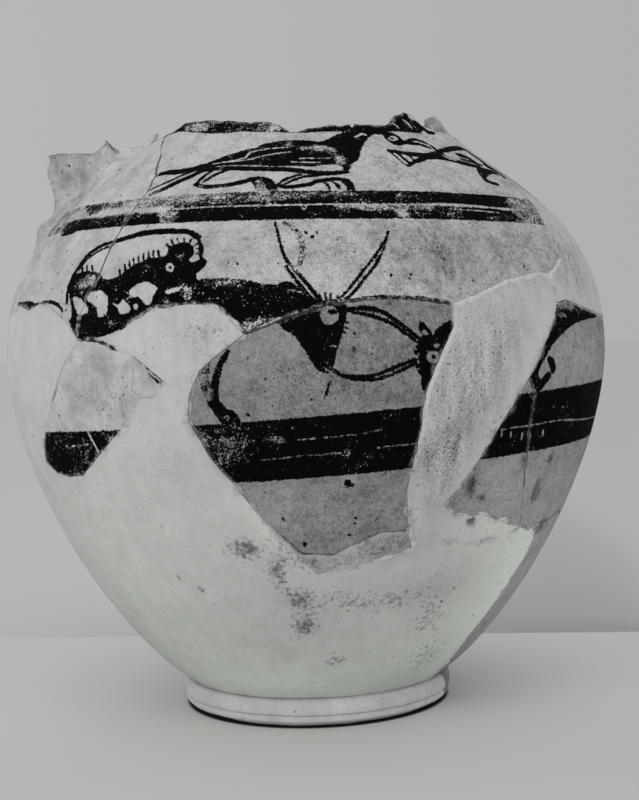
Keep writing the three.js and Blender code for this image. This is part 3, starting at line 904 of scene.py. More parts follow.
def plaster():
    f = Finish("scraped_plaster")
    tone, edge, stain = f.layer("tone"), f.layer("edge"), f.layer("stain")
    grain, fine, mid = f.grain(1.1, 2), f.grain(2.6, 5, 0.7), f.grain(16, 6, 0.66)
    strokes = f.grain(6, 4, 0.65, (1.0, 1.0, 0.16))
    dirty = (tone * -1.0).either(0.0)
    shade = 1 + tone * 0.8 + (f.grain(90, 3) - 0.5) * 0.3 + (mid - 0.5) * 0.5 + (fine - 0.5) * 0.3
    shade = shade + (strokes - 0.5) * (0.15 + dirty * 4) + (grain - 0.5) * (0.15 + dirty * 5)
    ridge = (edge + (mid - 0.5) * 5).smooth(3.2, 1.2) * dirty.smooth(0.04, 0.15)
    dark = (stain * 1.9 + (mid - 0.5) * 2.4 + (fine - 0.5) * 6 - 0.45).smooth(0.0, 1.7)
    pit = f.pits(22).smooth(0.05, 0.025) * f.grain(50, 2).smooth(0.42, 0.5)
    pit = pit.either(f.pits(4).smooth(0.16, 0.08) * dirty.smooth(0.05, 0.2))
    seam = edge.smooth(5.0, 0.0) * (mid * 2 + fine - 1.4).smooth(0.0, 0.5)
    shade = (shade + ridge * 0.3) * (1 - 0.75 * pit) * (1 - dark * 0.75) * (1 - seam * 0.4)
    height = fine * 0.3 + mid * 0.6 + strokes * 0.5 - pit * 1.5
    return f.done(f.scaled(grey(0.44), shade), height, depth=0.45)


# %% The five finishes
BROKEN = broken_clay()
SLIP_PALE = painted_clay("pale_slip", level=0.385, dirt=0.6, grit=0.35)
SLIP_WORN = painted_clay("worn_slip", level=0.31, dirt=0.9, grit=0.4)
CLAY_DARK = painted_clay("dark_clay", level=0.19, dirt=0.7, grit=0.5)
PLASTER = plaster()
print("finishes:", [m.name for m in (SLIP_PALE, SLIP_WORN, CLAY_DARK, BROKEN, PLASTER)])

# %% [markdown]
# ## The painted bands
# Two broad bands run round the jar. They were painted while it turned, so each of their edges
# is a level circle, a little tilted. The upper one has a thin line of bare slip in the middle,
# and so has the lower one where it runs round the back.

# %% Bands as fields
UPPER_BAND = (312.4, 329.5)
UPPER_GAP = (320.6, 321.5)
MIDDLE_BAND = (167.5, 202.0)
MIDDLE_GAPS = [(180.6, 181.4), (190.0, 190.7)]
UPPER_TILT = -3.8
MIDDLE_TILTS = (9.0, 10.4)
GAP_TILT = 9.5
BACK_FROM = math.radians(80)


def stripe(patch, heights, tilts):
    """Distance to a stripe between two circles, negative inside it; a circle rises by its
    tilt in millimetres at the right and falls as much at the left."""
    angle, along = patch.grid()
    share = np.sin(angle) * radius_at(along) / BELLY[0]
    low, high = (along_at(height + tilt * share) for height, tilt in zip(heights, tilts))
    return np.maximum(low - along, along - high)


def bands(patch):
    angle, _ = patch.grid()
    upper = stripe(patch, UPPER_BAND, (UPPER_TILT, UPPER_TILT))
    upper = np.maximum(upper, -stripe(patch, UPPER_GAP, (UPPER_TILT, UPPER_TILT)))
    middle = stripe(patch, MIDDLE_BAND, MIDDLE_TILTS)
    front = np.cos(angle) > math.cos(BACK_FROM)
    for gap in MIDDLE_GAPS:
        bare = stripe(patch, gap, (GAP_TILT, GAP_TILT))
        middle = np.maximum(middle, np.where(front, -REACH, -bare))
    return np.minimum(upper, middle)


# %% [markdown]
# ## The painted frieze
# The frieze was drawn freehand with a soft brush. Each stroke is a line with a width, or an
# area, through places on the wall given as degrees from the front and height in millimetres.
# Bare strokes take paint away again, for an eye or a gap, and in worn areas it has mostly
# flaked off. Every motif has its own list, in the order of painting. Above the upper band a
# ring of paint runs round the neck, and a long-necked bird walks after a fish.

# %% The ring round the neck
NECK_RING = [
    ("area", 0, [(-59.8, 375.4), (-53.6, 375.2), (-50, 376.3), (-44.7, 377), (-36.3, 374.5),
     (-29.4, 372.4), (-23.6, 371.6), (-18.4, 371.7), (-13.2, 370.7), (-6.8, 369.8), (1, 368.3),
     (7.1, 368.7), (11.8, 368.9), (16, 369.2), (17.8, 371.7), (16.7, 374.8), (15.1, 375.2),
     (10.9, 373.8), (6.8, 372.5), (2.6, 372), (-1.5, 370.3), (-2.7, 370.7), (-4.4, 373.3),
     (-8.8, 376.5), (-14.1, 377.9), (-19.7, 379), (-25.8, 381), (-32.2, 381.9), (-39.3, 382.4),
     (-44.6, 382.6), (-50.9, 379.8), (-57, 376.7)]),
    ("worn area", 0, [(-8.4, 374.4), (-5.4, 373.7), (-4.9, 371.3), (-7.8, 371.6)]),
    ("worn area", 0, [(-44.4, 380.9), (-38.6, 380.3), (-33.4, 379.9), (-32, 375.6),
     (-36.9, 375.9), (-42, 377.7)]),
    ("area", 0, [(28.1, 372.9), (32, 375.3), (34.1, 377.6), (36.7, 380), (38.8, 382.9),
     (41.1, 385.3), (43.7, 386.6), (45, 384.5), (44, 380.9), (45.9, 379.5), (48.6, 377.5),
     (49.9, 373.5), (53.5, 372.8), (51.8, 370.7), (48.2, 370.4), (47.2, 372.7), (44.2, 370.5),
     (41.1, 370.1), (34.9, 370.3), (30.7, 369.6), (28.9, 370.9)]),
    ("bare line", 1.6, [(34.3, 376.9), (35.2, 375), (35.6, 372.9)]),
    ("bare line", 1.6, [(40.6, 379.1), (41.8, 376.5), (41.8, 373)]),
]

# %% The long-necked bird
BIRD = [
    ("area", 0, [(-25.1, 349.2), (-23.1, 352.1), (-20.8, 354.4), (-18.3, 356.3), (-15.8, 357.9),
     (-13.7, 358.9), (-11.5, 359.6), (-10, 361.5), (-7.7, 362.6), (-4.9, 363.3), (-2, 363.3),
     (2.3, 363), (6.5, 362), (8.7, 363.3), (11.5, 366.4), (14.3, 368.5), (16.9, 370.3),
     (19.3, 373.8), (22.2, 375.7), (25.1, 375.5), (28.2, 373.3), (32.6, 372.6), (33.4, 370.5),
     (29.9, 369.5), (28.4, 369.4), (26.2, 367.1), (24.5, 367.4), (22.3, 365.5), (20.3, 362.6),
     (18.5, 359), (17.1, 355.4), (16, 351.2), (14.7, 348.5), (13.1, 346.4), (12.2, 343.1),
     (10.8, 341.1), (10.3, 345.2), (7.7, 346), (2.9, 344.9), (-1.8, 345.7), (-5.3, 345.8),
     (-8.5, 346.9), (-11.6, 347.7), (-15.5, 348.4), (-19.5, 348.8), (-22.6, 348),
     (-24.7, 347.8)]),
    ("bare line", 1.5, [(-21.8, 350.5), (-16.8, 351.6), (-13.6, 353.1), (-12.7, 356.4),
     (-9.6, 358), (-6, 358.6), (-3.9, 358.6)]),
    ("bare line", 1.5, [(-17.8, 351.1), (-14.6, 351.2), (-12.1, 351.8), (-9.6, 353.2),
     (-7.1, 354.2), (-4.5, 354.9), (-1.9, 355.3)]),
    ("worn area", 0, [(-3.7, 361.4), (-1.7, 361.9), (-1.7, 358.4), (-3.6, 358.3)]),
    ("worn area", 0, [(-0.3, 358.3), (3.5, 358.7), (7.7, 358.8), (10.1, 356.2), (8.8, 354.2),
     (3.4, 356.2)]),
    ("bare line", 1.1, [(0.7, 350.6), (8.1, 350.4)]),
    ("bare line", 1.3, [(-1.6, 348.4), (5.4, 347.5)]),
    ("worn area", 0, [(9.6, 352.1), (11.8, 351.3), (11.2, 347.2), (9.5, 347.2)]),
    ("bare line", 1.7, [(17.8, 365.4), (20.2, 367.5), (21.4, 366.9)]),
    ("line", 6.1, [(-36.5, 346.9), (-34.4, 347.4), (-30.9, 347.2), (-27.5, 347.8),
     (-24.6, 349.5)]),
    ("line", 5.1, [(-24.1, 346.7), (-20.4, 346.9), (-16.4, 346.5), (-11.3, 345.3), (-6.4, 344.3),
     (-1.7, 343.1), (2.8, 341.3), (7.2, 340.3), (11, 341.1)]),
    ("line", 2.3, [(-35.4, 336.7), (-33.3, 339), (-31.2, 341.4), (-29.2, 343.9), (-27, 346),
     (-24.2, 348)]),
    ("line", 4.7, [(-34, 333.5), (-32, 335.2), (-30.1, 338), (-28.2, 340.8), (-26.1, 342.9),
     (-24.1, 345.7), (-21.4, 346.8)]),
    ("line", 2.9, [(-20.9, 345.7), (-22.1, 342.7), (-23.1, 338.4)]),
    ("line", 2.9, [(-17, 345.3), (-19.5, 342.8), (-21.5, 338.7)]),
    ("line", 4.3, [(-23.2, 337.4), (-21, 335.4), (-18.1, 334.9), (-14.8, 335.5), (-12.7, 336.4),
     (-10.6, 338), (-9.2, 338.5), (-7.6, 337.9), (-6.5, 336.8), (-5.5, 334.1), (-4.7, 330.2),
     (-4.2, 327)]),
    ("line", 1.6, [(-10, 337.3), (-8.9, 333.3), (-8, 328.8)]),
    ("line", 1.5, [(-8.7, 336.4), (-7.1, 332.4), (-6.1, 328.5)]),
    ("line", 2.4, [(0.7, 339.8), (-1.7, 338.1), (-3.2, 336.3), (-4.2, 334.2)]),
    ("line", 2.5, [(7.6, 339.6), (2.7, 338.7), (0, 337.3), (-1.7, 335.5), (-2.7, 334)]),
    ("line", 3.8, [(-4.2, 333.9), (-3.1, 332.5), (-1.7, 332.3), (0.4, 332.7), (2.5, 333.5),
     (3.7, 335), (5.9, 336.1), (8.1, 336.6), (10.2, 335.8), (11.1, 333.9), (11.3, 330)]),
    ("line", 1.8, [(5.6, 334.8), (6.3, 332.2), (6.5, 329.7)]),
    ("line", 2, [(7.3, 335.4), (8.2, 332.7), (8.6, 330.1)]),
    ("line", 2.3, [(9.6, 334.6), (10.5, 332), (10.4, 329.4)]),
]

# %% The bird's head and the fish
BIRD_HEAD_AND_FISH = [
    ("area", 0, [(27.3, 369.3), (27.2, 365.1), (28, 361.5), (29.3, 359.9), (32, 360.4),
     (34.7, 361.8), (36.9, 364.5), (33.5, 363.8), (33.1, 366.3), (31.8, 368.6), (29.9, 369.5)]),
    ("bare area", 0, [(28.4, 365.1), (30.3, 366.7), (31.5, 366.1), (31.9, 364.4), (30.4, 363.3),
     (28.6, 363.3)]),
    ("area", 0, [(29.3, 365.4), (30.3, 365.3), (30, 364), (29, 363.9)]),
    ("line", 3.3, [(35.5, 364.1), (38.3, 365.1), (40.4, 364.3), (42, 362.7)]),
    ("line", 3.7, [(34, 361.7), (38.4, 361.5), (41.3, 359.6)]),
    ("line", 3.7, [(43, 361.1), (43.3, 359), (43.6, 356.9)]),
    ("area", 0, [(24.9, 356.7), (27.4, 356.5), (30.4, 356), (33.5, 355.4), (36.9, 355.3),
     (40.1, 356.4), (42.8, 357.5), (44.7, 356.7), (45.2, 354.3), (46.8, 352.4), (50.4, 351.2),
     (54.4, 350.2), (56.8, 349.3), (54.9, 347.5), (49.7, 347.6), (46.3, 348.8), (43.1, 350.1),
     (40, 351), (36.2, 350.6), (32.7, 348.5), (29.9, 346.7), (27.5, 344.6), (26.5, 347.7),
     (25.8, 351.8)]),
    ("bare area", 0, [(26.2, 354), (27.1, 353.3), (28.1, 347.1), (27.2, 346.7)]),
    ("bare area", 0, [(28.4, 353.8), (30.1, 352.8), (30.5, 350.4), (29.1, 348.5)]),
    ("bare area", 0, [(31.3, 352.6), (33.3, 352), (31.2, 350.6)]),
    ("bare line", 2.4, [(43.6, 354.4), (44.8, 352.6), (46.5, 351.5)]),
    ("line", 5, [(44.2, 357.7), (48.4, 359.1), (54.6, 361.3), (60.8, 362.5), (64.1, 361.5),
     (64.6, 360.1)]),
    ("line", 6.2, [(51.7, 356.1), (55.1, 355.7), (57.1, 353.2)]),
    ("line", 10.3, [(63.6, 358.5), (64.6, 355.5), (63.6, 351.4)]),
    ("line", 4.1, [(50.5, 353), (54.6, 352), (58.6, 350.3)]),
    ("area", 0, [(53.6, 348.3), (57.5, 348.4), (61.5, 347.4), (63.1, 346), (61.4, 343.2),
     (59.3, 344.2), (54.9, 342.6), (50.9, 339.5), (51.4, 337.8), (53.9, 336.9), (53.1, 334.7),
     (50.2, 335.6), (48.8, 337.1), (49.3, 340.2), (50.5, 343.9)]),
    ("line", 10.7, [(62, 350.4), (64.9, 348.2), (64.5, 343.9)]),
]

# %% [markdown]
# ## The upper band's wear
# The upper band was handled most, at the shoulder. It is worn through in patches, some strokes
# are left in them, and thin scratches run along it.

# %% The upper band's wear
UPPER_BAND_WEAR = [
    ("worn area", 0, [(-72.1, 313.5), (-75.4, 322.2), (-70.9, 330.1), (-69.6, 340.9),
     (-52.8, 326), (-55.1, 323.7), (-59.1, 321.9), (-60, 318.4), (-58.3, 314.3), (-65.7, 310.9)]),
    ("line", 5.9, [(-57.7, 315.1), (-55, 315.4), (-52.2, 316)]),
    ("worn area", 0, [(-52.2, 323.3), (-47.7, 324.7), (-47.6, 326.8), (-44.1, 326.9),
     (-38.9, 325.8), (-34.3, 324.6), (-27.9, 324.1), (-26.2, 324.1), (-27.1, 321.2),
     (-30.9, 321.1), (-33.9, 322.1), (-39.4, 322.7), (-45.7, 322.7)]),
    ("worn area", 0, [(-28.8, 320.4), (-26.1, 321), (-24.7, 320.7), (-24.1, 315.2),
     (-27.3, 314.4)]),
    ("worn area", 0, [(7, 320.9), (10, 321.1), (15.9, 320.4), (22.1, 320.1), (27, 320.2),
     (26.6, 317.3), (21.6, 316.9), (15.6, 317.4), (9.7, 317.4), (7.1, 317.9)]),
    ("bare line", 1.6, [(27.2, 320.4), (31.2, 320.2), (36.1, 319.8), (40.1, 319.3), (44.4, 318.6),
     (47.4, 317.8)]),
    ("bare line", 0.9, [(31.7, 317.1), (36.6, 316.8), (43.4, 315.8)]),
    ("worn area", 0, [(19.1, 316.7), (21.1, 316), (20.9, 313.6), (19.7, 311.8), (18.9, 313.6)]),
    ("bare line", 0.9, [(0.3, 322.5), (1, 318.1), (1.7, 321.4)]),
    ("worn area", 0, [(53.7, 327.5), (63.3, 327.8), (75.4, 318.2), (68.4, 299.6), (54, 301.7),
     (46.9, 307.3), (48.5, 314.4), (48.3, 322.1)]),
    ("line", 4, [(48.9, 316.3), (50.3, 315.2), (50, 312)]),
    ("line", 3.5, [(52.1, 314.2), (52.2, 311)]),
    ("line", 7.2, [(61.6, 320.8), (62.1, 316.9), (61, 311.5), (60.4, 308.9)]),
    ("line", 4.1, [(57.3, 318.8), (57.3, 314.9)]),
]

# %% [markdown]
# ## The animals between the bands
# A bristled beast comes first, with its young under it as bare shapes in the dark of its body.
# Two horned bulls follow. The first is seen from above, and the second turns its head to face
# us, with lashes round the eye and beads down its cheek.

# %% The bristled beast
BEAST = [
    ("line", 3.3, [(-45, 271.2), (-45.4, 277.1), (-45.3, 282.4), (-45, 286.4), (-44.2, 290.7),
     (-43.5, 295), (-42.7, 298.3), (-41.7, 300.5), (-40, 303.1), (-38.4, 304.5), (-36.6, 305.1)]),
    ("line", 1.7, [(-43.7, 289.7), (-43, 293.7), (-41.7, 297.6), (-39.9, 300.2), (-38.2, 302.2),
     (-36.3, 303.2)]),
    ("line", 4.2, [(-36, 305.5), (-34.2, 306.6), (-32.6, 307.5), (-30.9, 308.5), (-28.7, 308.9),
     (-26.5, 309), (-24.4, 308.9), (-22.2, 308.4), (-20.6, 307.8), (-19.5, 306.4),
     (-18.3, 304.2)]),
    ("line", 2.6, [(-18.3, 303.6), (-17.6, 300), (-17.3, 296.6), (-17.2, 293.2), (-16.8, 290.3)]),
    ("line", 1, [(-18.7, 300.8), (-17.7, 300.1)]),
    ("line", 1, [(-18.3, 297.9), (-17.3, 297.4)]),
    ("line", 1, [(-18.1, 295), (-17.2, 294.9)]),
    ("area", 0, [(-44.2, 272.3), (-45.1, 278.2), (-45.4, 284.7), (-44.4, 288.1), (-43, 288.4),
     (-41.7, 289.1), (-39.7, 288.4), (-38.1, 287.6), (-37.1, 285.1), (-35.9, 283.2),
     (-34.3, 283.5), (-33, 284.4), (-32.3, 286), (-31.5, 287.6), (-30.8, 289.2), (-29.9, 290.8),
     (-28.9, 291.7), (-27, 293.7), (-25, 293.9), (-23.8, 294.8), (-23.7, 298.2), (-23.1, 300.1),
     (-22, 301.4), (-20.6, 301.7), (-19.4, 300.4), (-18.6, 296.8), (-18.8, 293.4), (-19.3, 291.8),
     (-18.6, 290), (-17.7, 291), (-16.7, 292.5), (-15.9, 289.6), (-16.5, 286.3), (-17.6, 283.1),
     (-17.1, 279.7), (-15.9, 277.8), (-15.7, 266.7), (-16.5, 266.3), (-18.3, 266), (-20.4, 265.2),
     (-22.2, 264.3), (-24, 263.4), (-25.8, 262), (-27.3, 260.5), (-28.5, 258.4), (-29.6, 255.1),
     (-32.1, 253.1), (-33.8, 251.6), (-35.5, 250.1), (-37.4, 249.7), (-39, 250.4), (-40.8, 252.8),
     (-41.7, 256.9), (-43.2, 260.6), (-43.2, 265.2)]),
    ("line", 1.5, [(-32.5, 283.8), (-33.2, 288.7)]),
    ("line", 1.4, [(-31.6, 285.9), (-32.2, 290.9)]),
    ("line", 1.4, [(-30.7, 288), (-31.4, 293)]),
    ("line", 1.3, [(-30, 289.3), (-30.6, 294.3)]),
    ("line", 1.3, [(-29, 290.6), (-29.7, 295.6)]),
    ("line", 1.3, [(-28.1, 291.6), (-28.7, 296.6)]),
    ("line", 1.3, [(-27.1, 292.5), (-27.7, 297.5)]),
    ("line", 1.3, [(-26.1, 292.7), (-26.7, 297.6)]),
    ("line", 1.3, [(-25.1, 292.8), (-25.7, 297.7)]),
    ("line", 1.8, [(-42.2, 287.1), (-43.3, 292)]),
    ("line", 1.7, [(-40.9, 287.2), (-41.8, 292)]),
    ("line", 1.6, [(-39.5, 287), (-40.4, 291.8)]),
    ("line", 1, [(-23.4, 298.8), (-24.4, 301.5)]),
    ("line", 1, [(-22.7, 300.4), (-23.6, 303.7)]),
    ("line", 1, [(-21.8, 301.1), (-22.5, 304.4)]),
    ("line", 1.1, [(-20.8, 301.5), (-21.1, 304.7)]),
    ("line", 1.2, [(-19.8, 300.7), (-19.6, 303.6)]),
    ("line", 1.2, [(-18.9, 298.6), (-18.3, 300.7)]),
    ("bare area", 0, [(-23.5, 288), (-23.3, 289.9), (-22.8, 290.4), (-22.1, 289.4),
     (-21.8, 287.7), (-21.9, 285.7), (-22.5, 285.1), (-23.1, 285.9)]),
    ("area", 0, [(-22.9, 287.9), (-22.7, 288.7), (-22.3, 287.8), (-22.6, 286.7)]),
    ("bare area", 0, [(-30.2, 274.3), (-29.7, 277.1), (-28.8, 279.2), (-27.7, 280.2),
     (-26.3, 279.9), (-25.2, 278.1), (-24.5, 276.3), (-24.8, 274.1), (-25.3, 271.4),
     (-25.6, 268.1), (-26.5, 267.1), (-27.4, 270), (-28.3, 272.4), (-29.3, 271.9)]),
    ("bare area", 0, [(-39.8, 274), (-38.9, 276.2), (-37.8, 276.6), (-36.6, 277), (-35.5, 275.1),
     (-34.6, 272.1), (-34.5, 268.7), (-34.5, 264.2), (-34.9, 261.9), (-36.5, 262.1),
     (-36.9, 266.7), (-38, 269.2), (-39.4, 271.6)]),
    ("bare area", 0, [(-43.5, 273.9), (-41.9, 273.7), (-40.3, 270.6), (-39.1, 267),
     (-39.2, 264.2), (-41.2, 263.2), (-42.1, 266.2), (-43, 270.4)]),
    ("bare area", 0, [(-33.4, 269.1), (-32.1, 268.4), (-31.3, 270.5), (-30.2, 268.7),
     (-29.5, 265.8), (-29.8, 263.6), (-31.4, 262.7), (-32.2, 266.1)]),
    ("bare area", 0, [(-28.9, 268.5), (-28.1, 267.9), (-28.1, 265.1), (-28.8, 265.7)]),
    ("bare area", 0, [(-23.3, 274.5), (-22.4, 275.4), (-21.5, 275.9), (-20.6, 276.3),
     (-19.6, 278.1), (-20.2, 275.1), (-21.3, 273.6), (-22.6, 273.2)]),
    ("worn area", 0, [(-23.3, 269.4), (-22.8, 270.8), (-22.3, 269.3), (-22.8, 267.7)]),
    ("worn area", 0, [(-20, 274.5), (-19.2, 275.5), (-18.2, 274.3), (-18.3, 270.4),
     (-19.2, 269.4), (-19.9, 271.2)]),
    ("worn area", 0, [(-28.2, 288.2), (-27.5, 289.5), (-26.6, 288.5), (-27.3, 287.5)]),
    ("worn area", 0, [(-21.8, 293.9), (-21, 295.5), (-20.3, 293.7), (-20.9, 291.5)]),
    ("worn area", 0, [(-42.7, 282), (-41.1, 282.9), (-40.4, 280.4), (-41.9, 279.5)]),
    ("worn area", 0, [(-40.3, 285.1), (-38.8, 285.4), (-38.8, 282.5), (-40.1, 282.7)]),
]

# %% The first bull
FIRST_BULL = [
    ("area", 0, [(-17.1, 278.6), (-15.1, 280.2), (-12.5, 280.4), (-9.9, 279.2), (-8.3, 278.2),
     (-6.3, 276.5), (-4.2, 275.7), (-2.9, 277.2), (-1.7, 276.8), (-0.5, 274.1), (0.6, 271),
     (1.7, 267.8), (3.3, 266.3), (4.9, 266.4), (6.6, 265.6), (7.2, 261.2), (7.1, 256.8),
     (6.7, 252.5), (6.2, 246.5), (5.7, 241.2), (5.1, 235.8), (4.8, 230.9), (4.4, 226.6),
     (3.8, 225.8), (3.1, 226.2), (2.2, 227.9), (1.5, 230.8), (0.9, 234.7), (0.4, 238),
     (-0.4, 241.9), (-1, 245.8), (-2, 248.6), (-3.2, 251.5), (-4.1, 254.6), (-5.4, 254.5),
     (-7, 252.5), (-9.4, 249), (-9.8, 254.5), (-11.5, 258.8), (-12.8, 262.2), (-14, 265.7),
     (-16.5, 266.6)]),
    ("worn area", 0, [(-9.2, 255.5), (-7.9, 256.4), (-6.3, 257.6), (-4.4, 257.6), (-4.7, 256),
     (-6.6, 253.8), (-8.9, 250.6), (-9.4, 252.2)]),
    ("bare line", 0.7, [(-2.2, 272.2), (-1.3, 271.8), (0, 270.9)]),
    ("bare area", 0, [(2.8, 257.9), (3.1, 260.8), (3.7, 262.5), (4.5, 262.8), (5.3, 261.7),
     (5.8, 259.1), (5.8, 256.4), (5.3, 254), (4.6, 252.5), (3.7, 252.8), (3.1, 254.8)]),
    ("area", 0, [(4, 259.6), (4.6, 261), (5.4, 260.6), (5.7, 258.9), (5.1, 258), (4.4, 258.3)]),
    ("bare line", 0.9, [(3.9, 240.8), (5.2, 240.7)]),
    ("bare line", 0.7, [(-9.4, 248.7), (-7.1, 252.2), (-4.7, 255.2), (-2.3, 258.2), (-0.6, 259.9),
     (0.7, 260.6)]),
    ("line", 1.1, [(3.1, 266), (2.9, 269.6)]),
    ("line", 1.1, [(3.9, 266.2), (3.8, 269.8)]),
    ("line", 1.1, [(4.7, 266.4), (4.8, 269.7)]),
    ("line", 1.1, [(5.5, 266), (5.9, 269)]),
    ("line", 1.1, [(6.6, 254.1), (7.4, 252.9)]),
    ("line", 1.1, [(6.4, 251.2), (7.3, 249.9)]),
    ("line", 1, [(6.1, 248.7), (6.8, 247.6)]),
    ("line", 1.6, [(-4.3, 310.8), (-3.8, 304.3), (-3.2, 297.4), (-2.7, 291.6), (-2, 287.6)]),
    ("line", 0.9, [(-3.5, 301.4), (-2.8, 294.5), (-2.2, 289.9), (-1.5, 285.9)]),
    ("line", 2.5, [(-2, 287.6), (-1.2, 284.2), (-0.1, 280.2), (1, 275.6), (2.2, 270.2),
     (3.1, 266.6)]),
    ("line", 2.3, [(-2.2, 285.4), (-1.4, 280.9), (-0.3, 275.8), (0.8, 270.7), (2, 266.2)]),
    ("line", 2.2, [(15.9, 303.7), (15.3, 299.6), (14.5, 295.1), (13.5, 289.4), (12.3, 283.9),
     (10.7, 278.5), (9.2, 272.5), (7.8, 267.7), (6.6, 265.1)]),
    ("line", 1.9, [(15.5, 300.8), (13.5, 292.8), (11.7, 286.2), (10, 280.2), (8.3, 273.7),
     (7, 269.4), (6, 266.2)]),
]

# %% The second bull
SECOND_BULL = [
    ("line", 2.1, [(4.5, 264.5), (6.1, 265.1), (9.1, 265.6), (10.7, 266.4), (12.7, 266.6),
     (16, 266.3), (19.4, 265.4), (22.1, 264.3), (24.5, 262.5)]),
    ("line", 2.7, [(6.7, 259.3), (7.7, 260.6), (9, 261), (10.3, 260.8), (11.7, 260),
     (13.3, 257.7), (14.5, 254.9), (16, 250.9), (17.2, 247.4), (18.9, 242.5)]),
    ("line", 2.2, [(6.6, 261), (8, 259.2), (9.5, 257.9), (11.1, 256.5), (12.7, 254.5),
     (14.3, 251.9), (15.6, 248.7), (16.9, 245.2), (18.2, 241.8)]),
    ("line", 2.9, [(4.9, 227.1), (5.7, 225), (6.6, 223.8), (8, 223.2), (9.9, 223.1),
     (11.6, 223.8), (13.2, 225.7), (14.9, 227.9), (16.5, 229.6), (18.1, 231.3)]),
    ("line", 1.8, [(7.5, 222), (9.6, 221.3), (12, 221.7), (14, 223.9), (16.2, 226.7),
     (18.2, 229.4)]),
    ("bare line", 0.6, [(10.7, 222.4), (12.9, 224.1), (14.8, 226.5), (17, 229.2)]),
    ("area", 0, [(18.5, 242.3), (19.6, 244.6), (21, 243.6), (21.7, 247.4), (23, 250.1),
     (24.4, 252.7), (25.1, 251.5), (24.8, 246), (24.1, 238.8), (23.5, 233.3), (22.6, 229.6),
     (21.8, 225.2), (21.1, 220.9), (20.6, 216.5), (20.1, 211), (19.5, 213.4), (18.9, 217.3),
     (19.1, 221.2), (18.4, 224.6), (18, 228), (18.7, 232.3), (17.8, 235.8)]),
    ("bare area", 0, [(18.1, 240.1), (18.3, 240.9), (18.6, 240.1), (18.3, 239.3)]),
    ("bare area", 0, [(17.9, 237.4), (18.1, 238.2), (18.4, 237.3), (18.1, 236.5)]),
    ("bare area", 0, [(18.4, 234.6), (18.6, 235.4), (18.9, 234.5), (18.6, 233.7)]),
    ("bare area", 0, [(18.3, 230.2), (18.6, 231), (18.8, 230.1), (18.6, 229.3)]),
    ("bare area", 0, [(18.1, 226.3), (18.4, 227.1), (18.6, 226.3), (18.4, 225.5)]),
    ("area", 0, [(18.9, 251.1), (19.6, 252.4), (20.4, 248.7), (21.2, 245.3), (20.8, 243.1),
     (19.7, 243.8), (18.9, 247.2)]),
    ("bare area", 0, [(19.5, 248), (20.7, 245.3), (19.7, 244.7)]),
    ("bare area", 0, [(20, 232.7), (20.3, 235.1), (21.1, 236.1), (22, 234.9), (22.3, 232.4),
     (21.9, 229.7), (21.1, 228.8), (20.3, 230.2)]),
    ("area", 0, [(20.7, 233.2), (21.2, 234.2), (21.7, 233), (21.2, 231.4)]),
    ("bare area", 0, [(21.2, 239.5), (21.8, 240.5), (22.3, 239), (21.8, 237.4), (21.2, 238.1)]),
]

# %% The curved leg and spots
LEG_AND_SPOTS = [
    ("area", 0, [(-12.5, 240), (-11.9, 238.3), (-12.8, 232.4), (-13.5, 224.2), (-13.8, 217.6),
     (-13.8, 212), (-13.1, 208.4), (-11.8, 206.9), (-10.9, 204), (-10.5, 198.9), (-10.9, 196.2),
     (-12.2, 197.4), (-13.7, 199.7), (-14.6, 203.7), (-15.3, 207.7), (-16, 212.2), (-16.5, 217.8),
     (-16.3, 222.2), (-15, 219.9), (-14.4, 224.3), (-13.8, 230.8), (-13.2, 236.3)]),
    ("bare area", 0, [(-12.9, 204.2), (-12.3, 205.3), (-11.9, 204.1), (-12.4, 202.4)]),
    ("area", 0, [(14.7, 279.2), (15.2, 279.8), (15.4, 278.6), (14.9, 277.9)]),
    ("area", 0, [(18.3, 279.4), (18.6, 279.4), (18.6, 278.3), (18.3, 278.3)]),
    ("area", 0, [(8, 248.2), (8.5, 247.9), (8.4, 246.3), (8.1, 246.5)]),
    ("area", 0, [(7.8, 240.3), (8.2, 240.1), (8.2, 238.7), (7.8, 238.9)]),
    ("area", 0, [(-10.8, 288.9), (-10.4, 288.7), (-10.4, 287.5), (-10.7, 287.6)]),
    ("area", 0, [(7.3, 163.3), (7.9, 163.4), (8, 161.4), (7.4, 161.4)]),
    ("line", 1.4, [(4.1, 221.1), (3.7, 217.9), (3.4, 214.6), (3.2, 212.5)]),
    ("area", 0, [(0.9, 212.2), (1.4, 211.9), (1.3, 210.6), (1, 210.8)]),
    ("area", 0, [(-9.5, 205), (-9, 205), (-9, 203.4), (-9.4, 203.5)]),
]

# %% [markdown]
# ## The middle band and the shapes round it
# Thin lines were left bare along the middle band. Right of the plaster strip a hooked shape
# hangs over it, and at the left and on the chip only traces of paint are left.

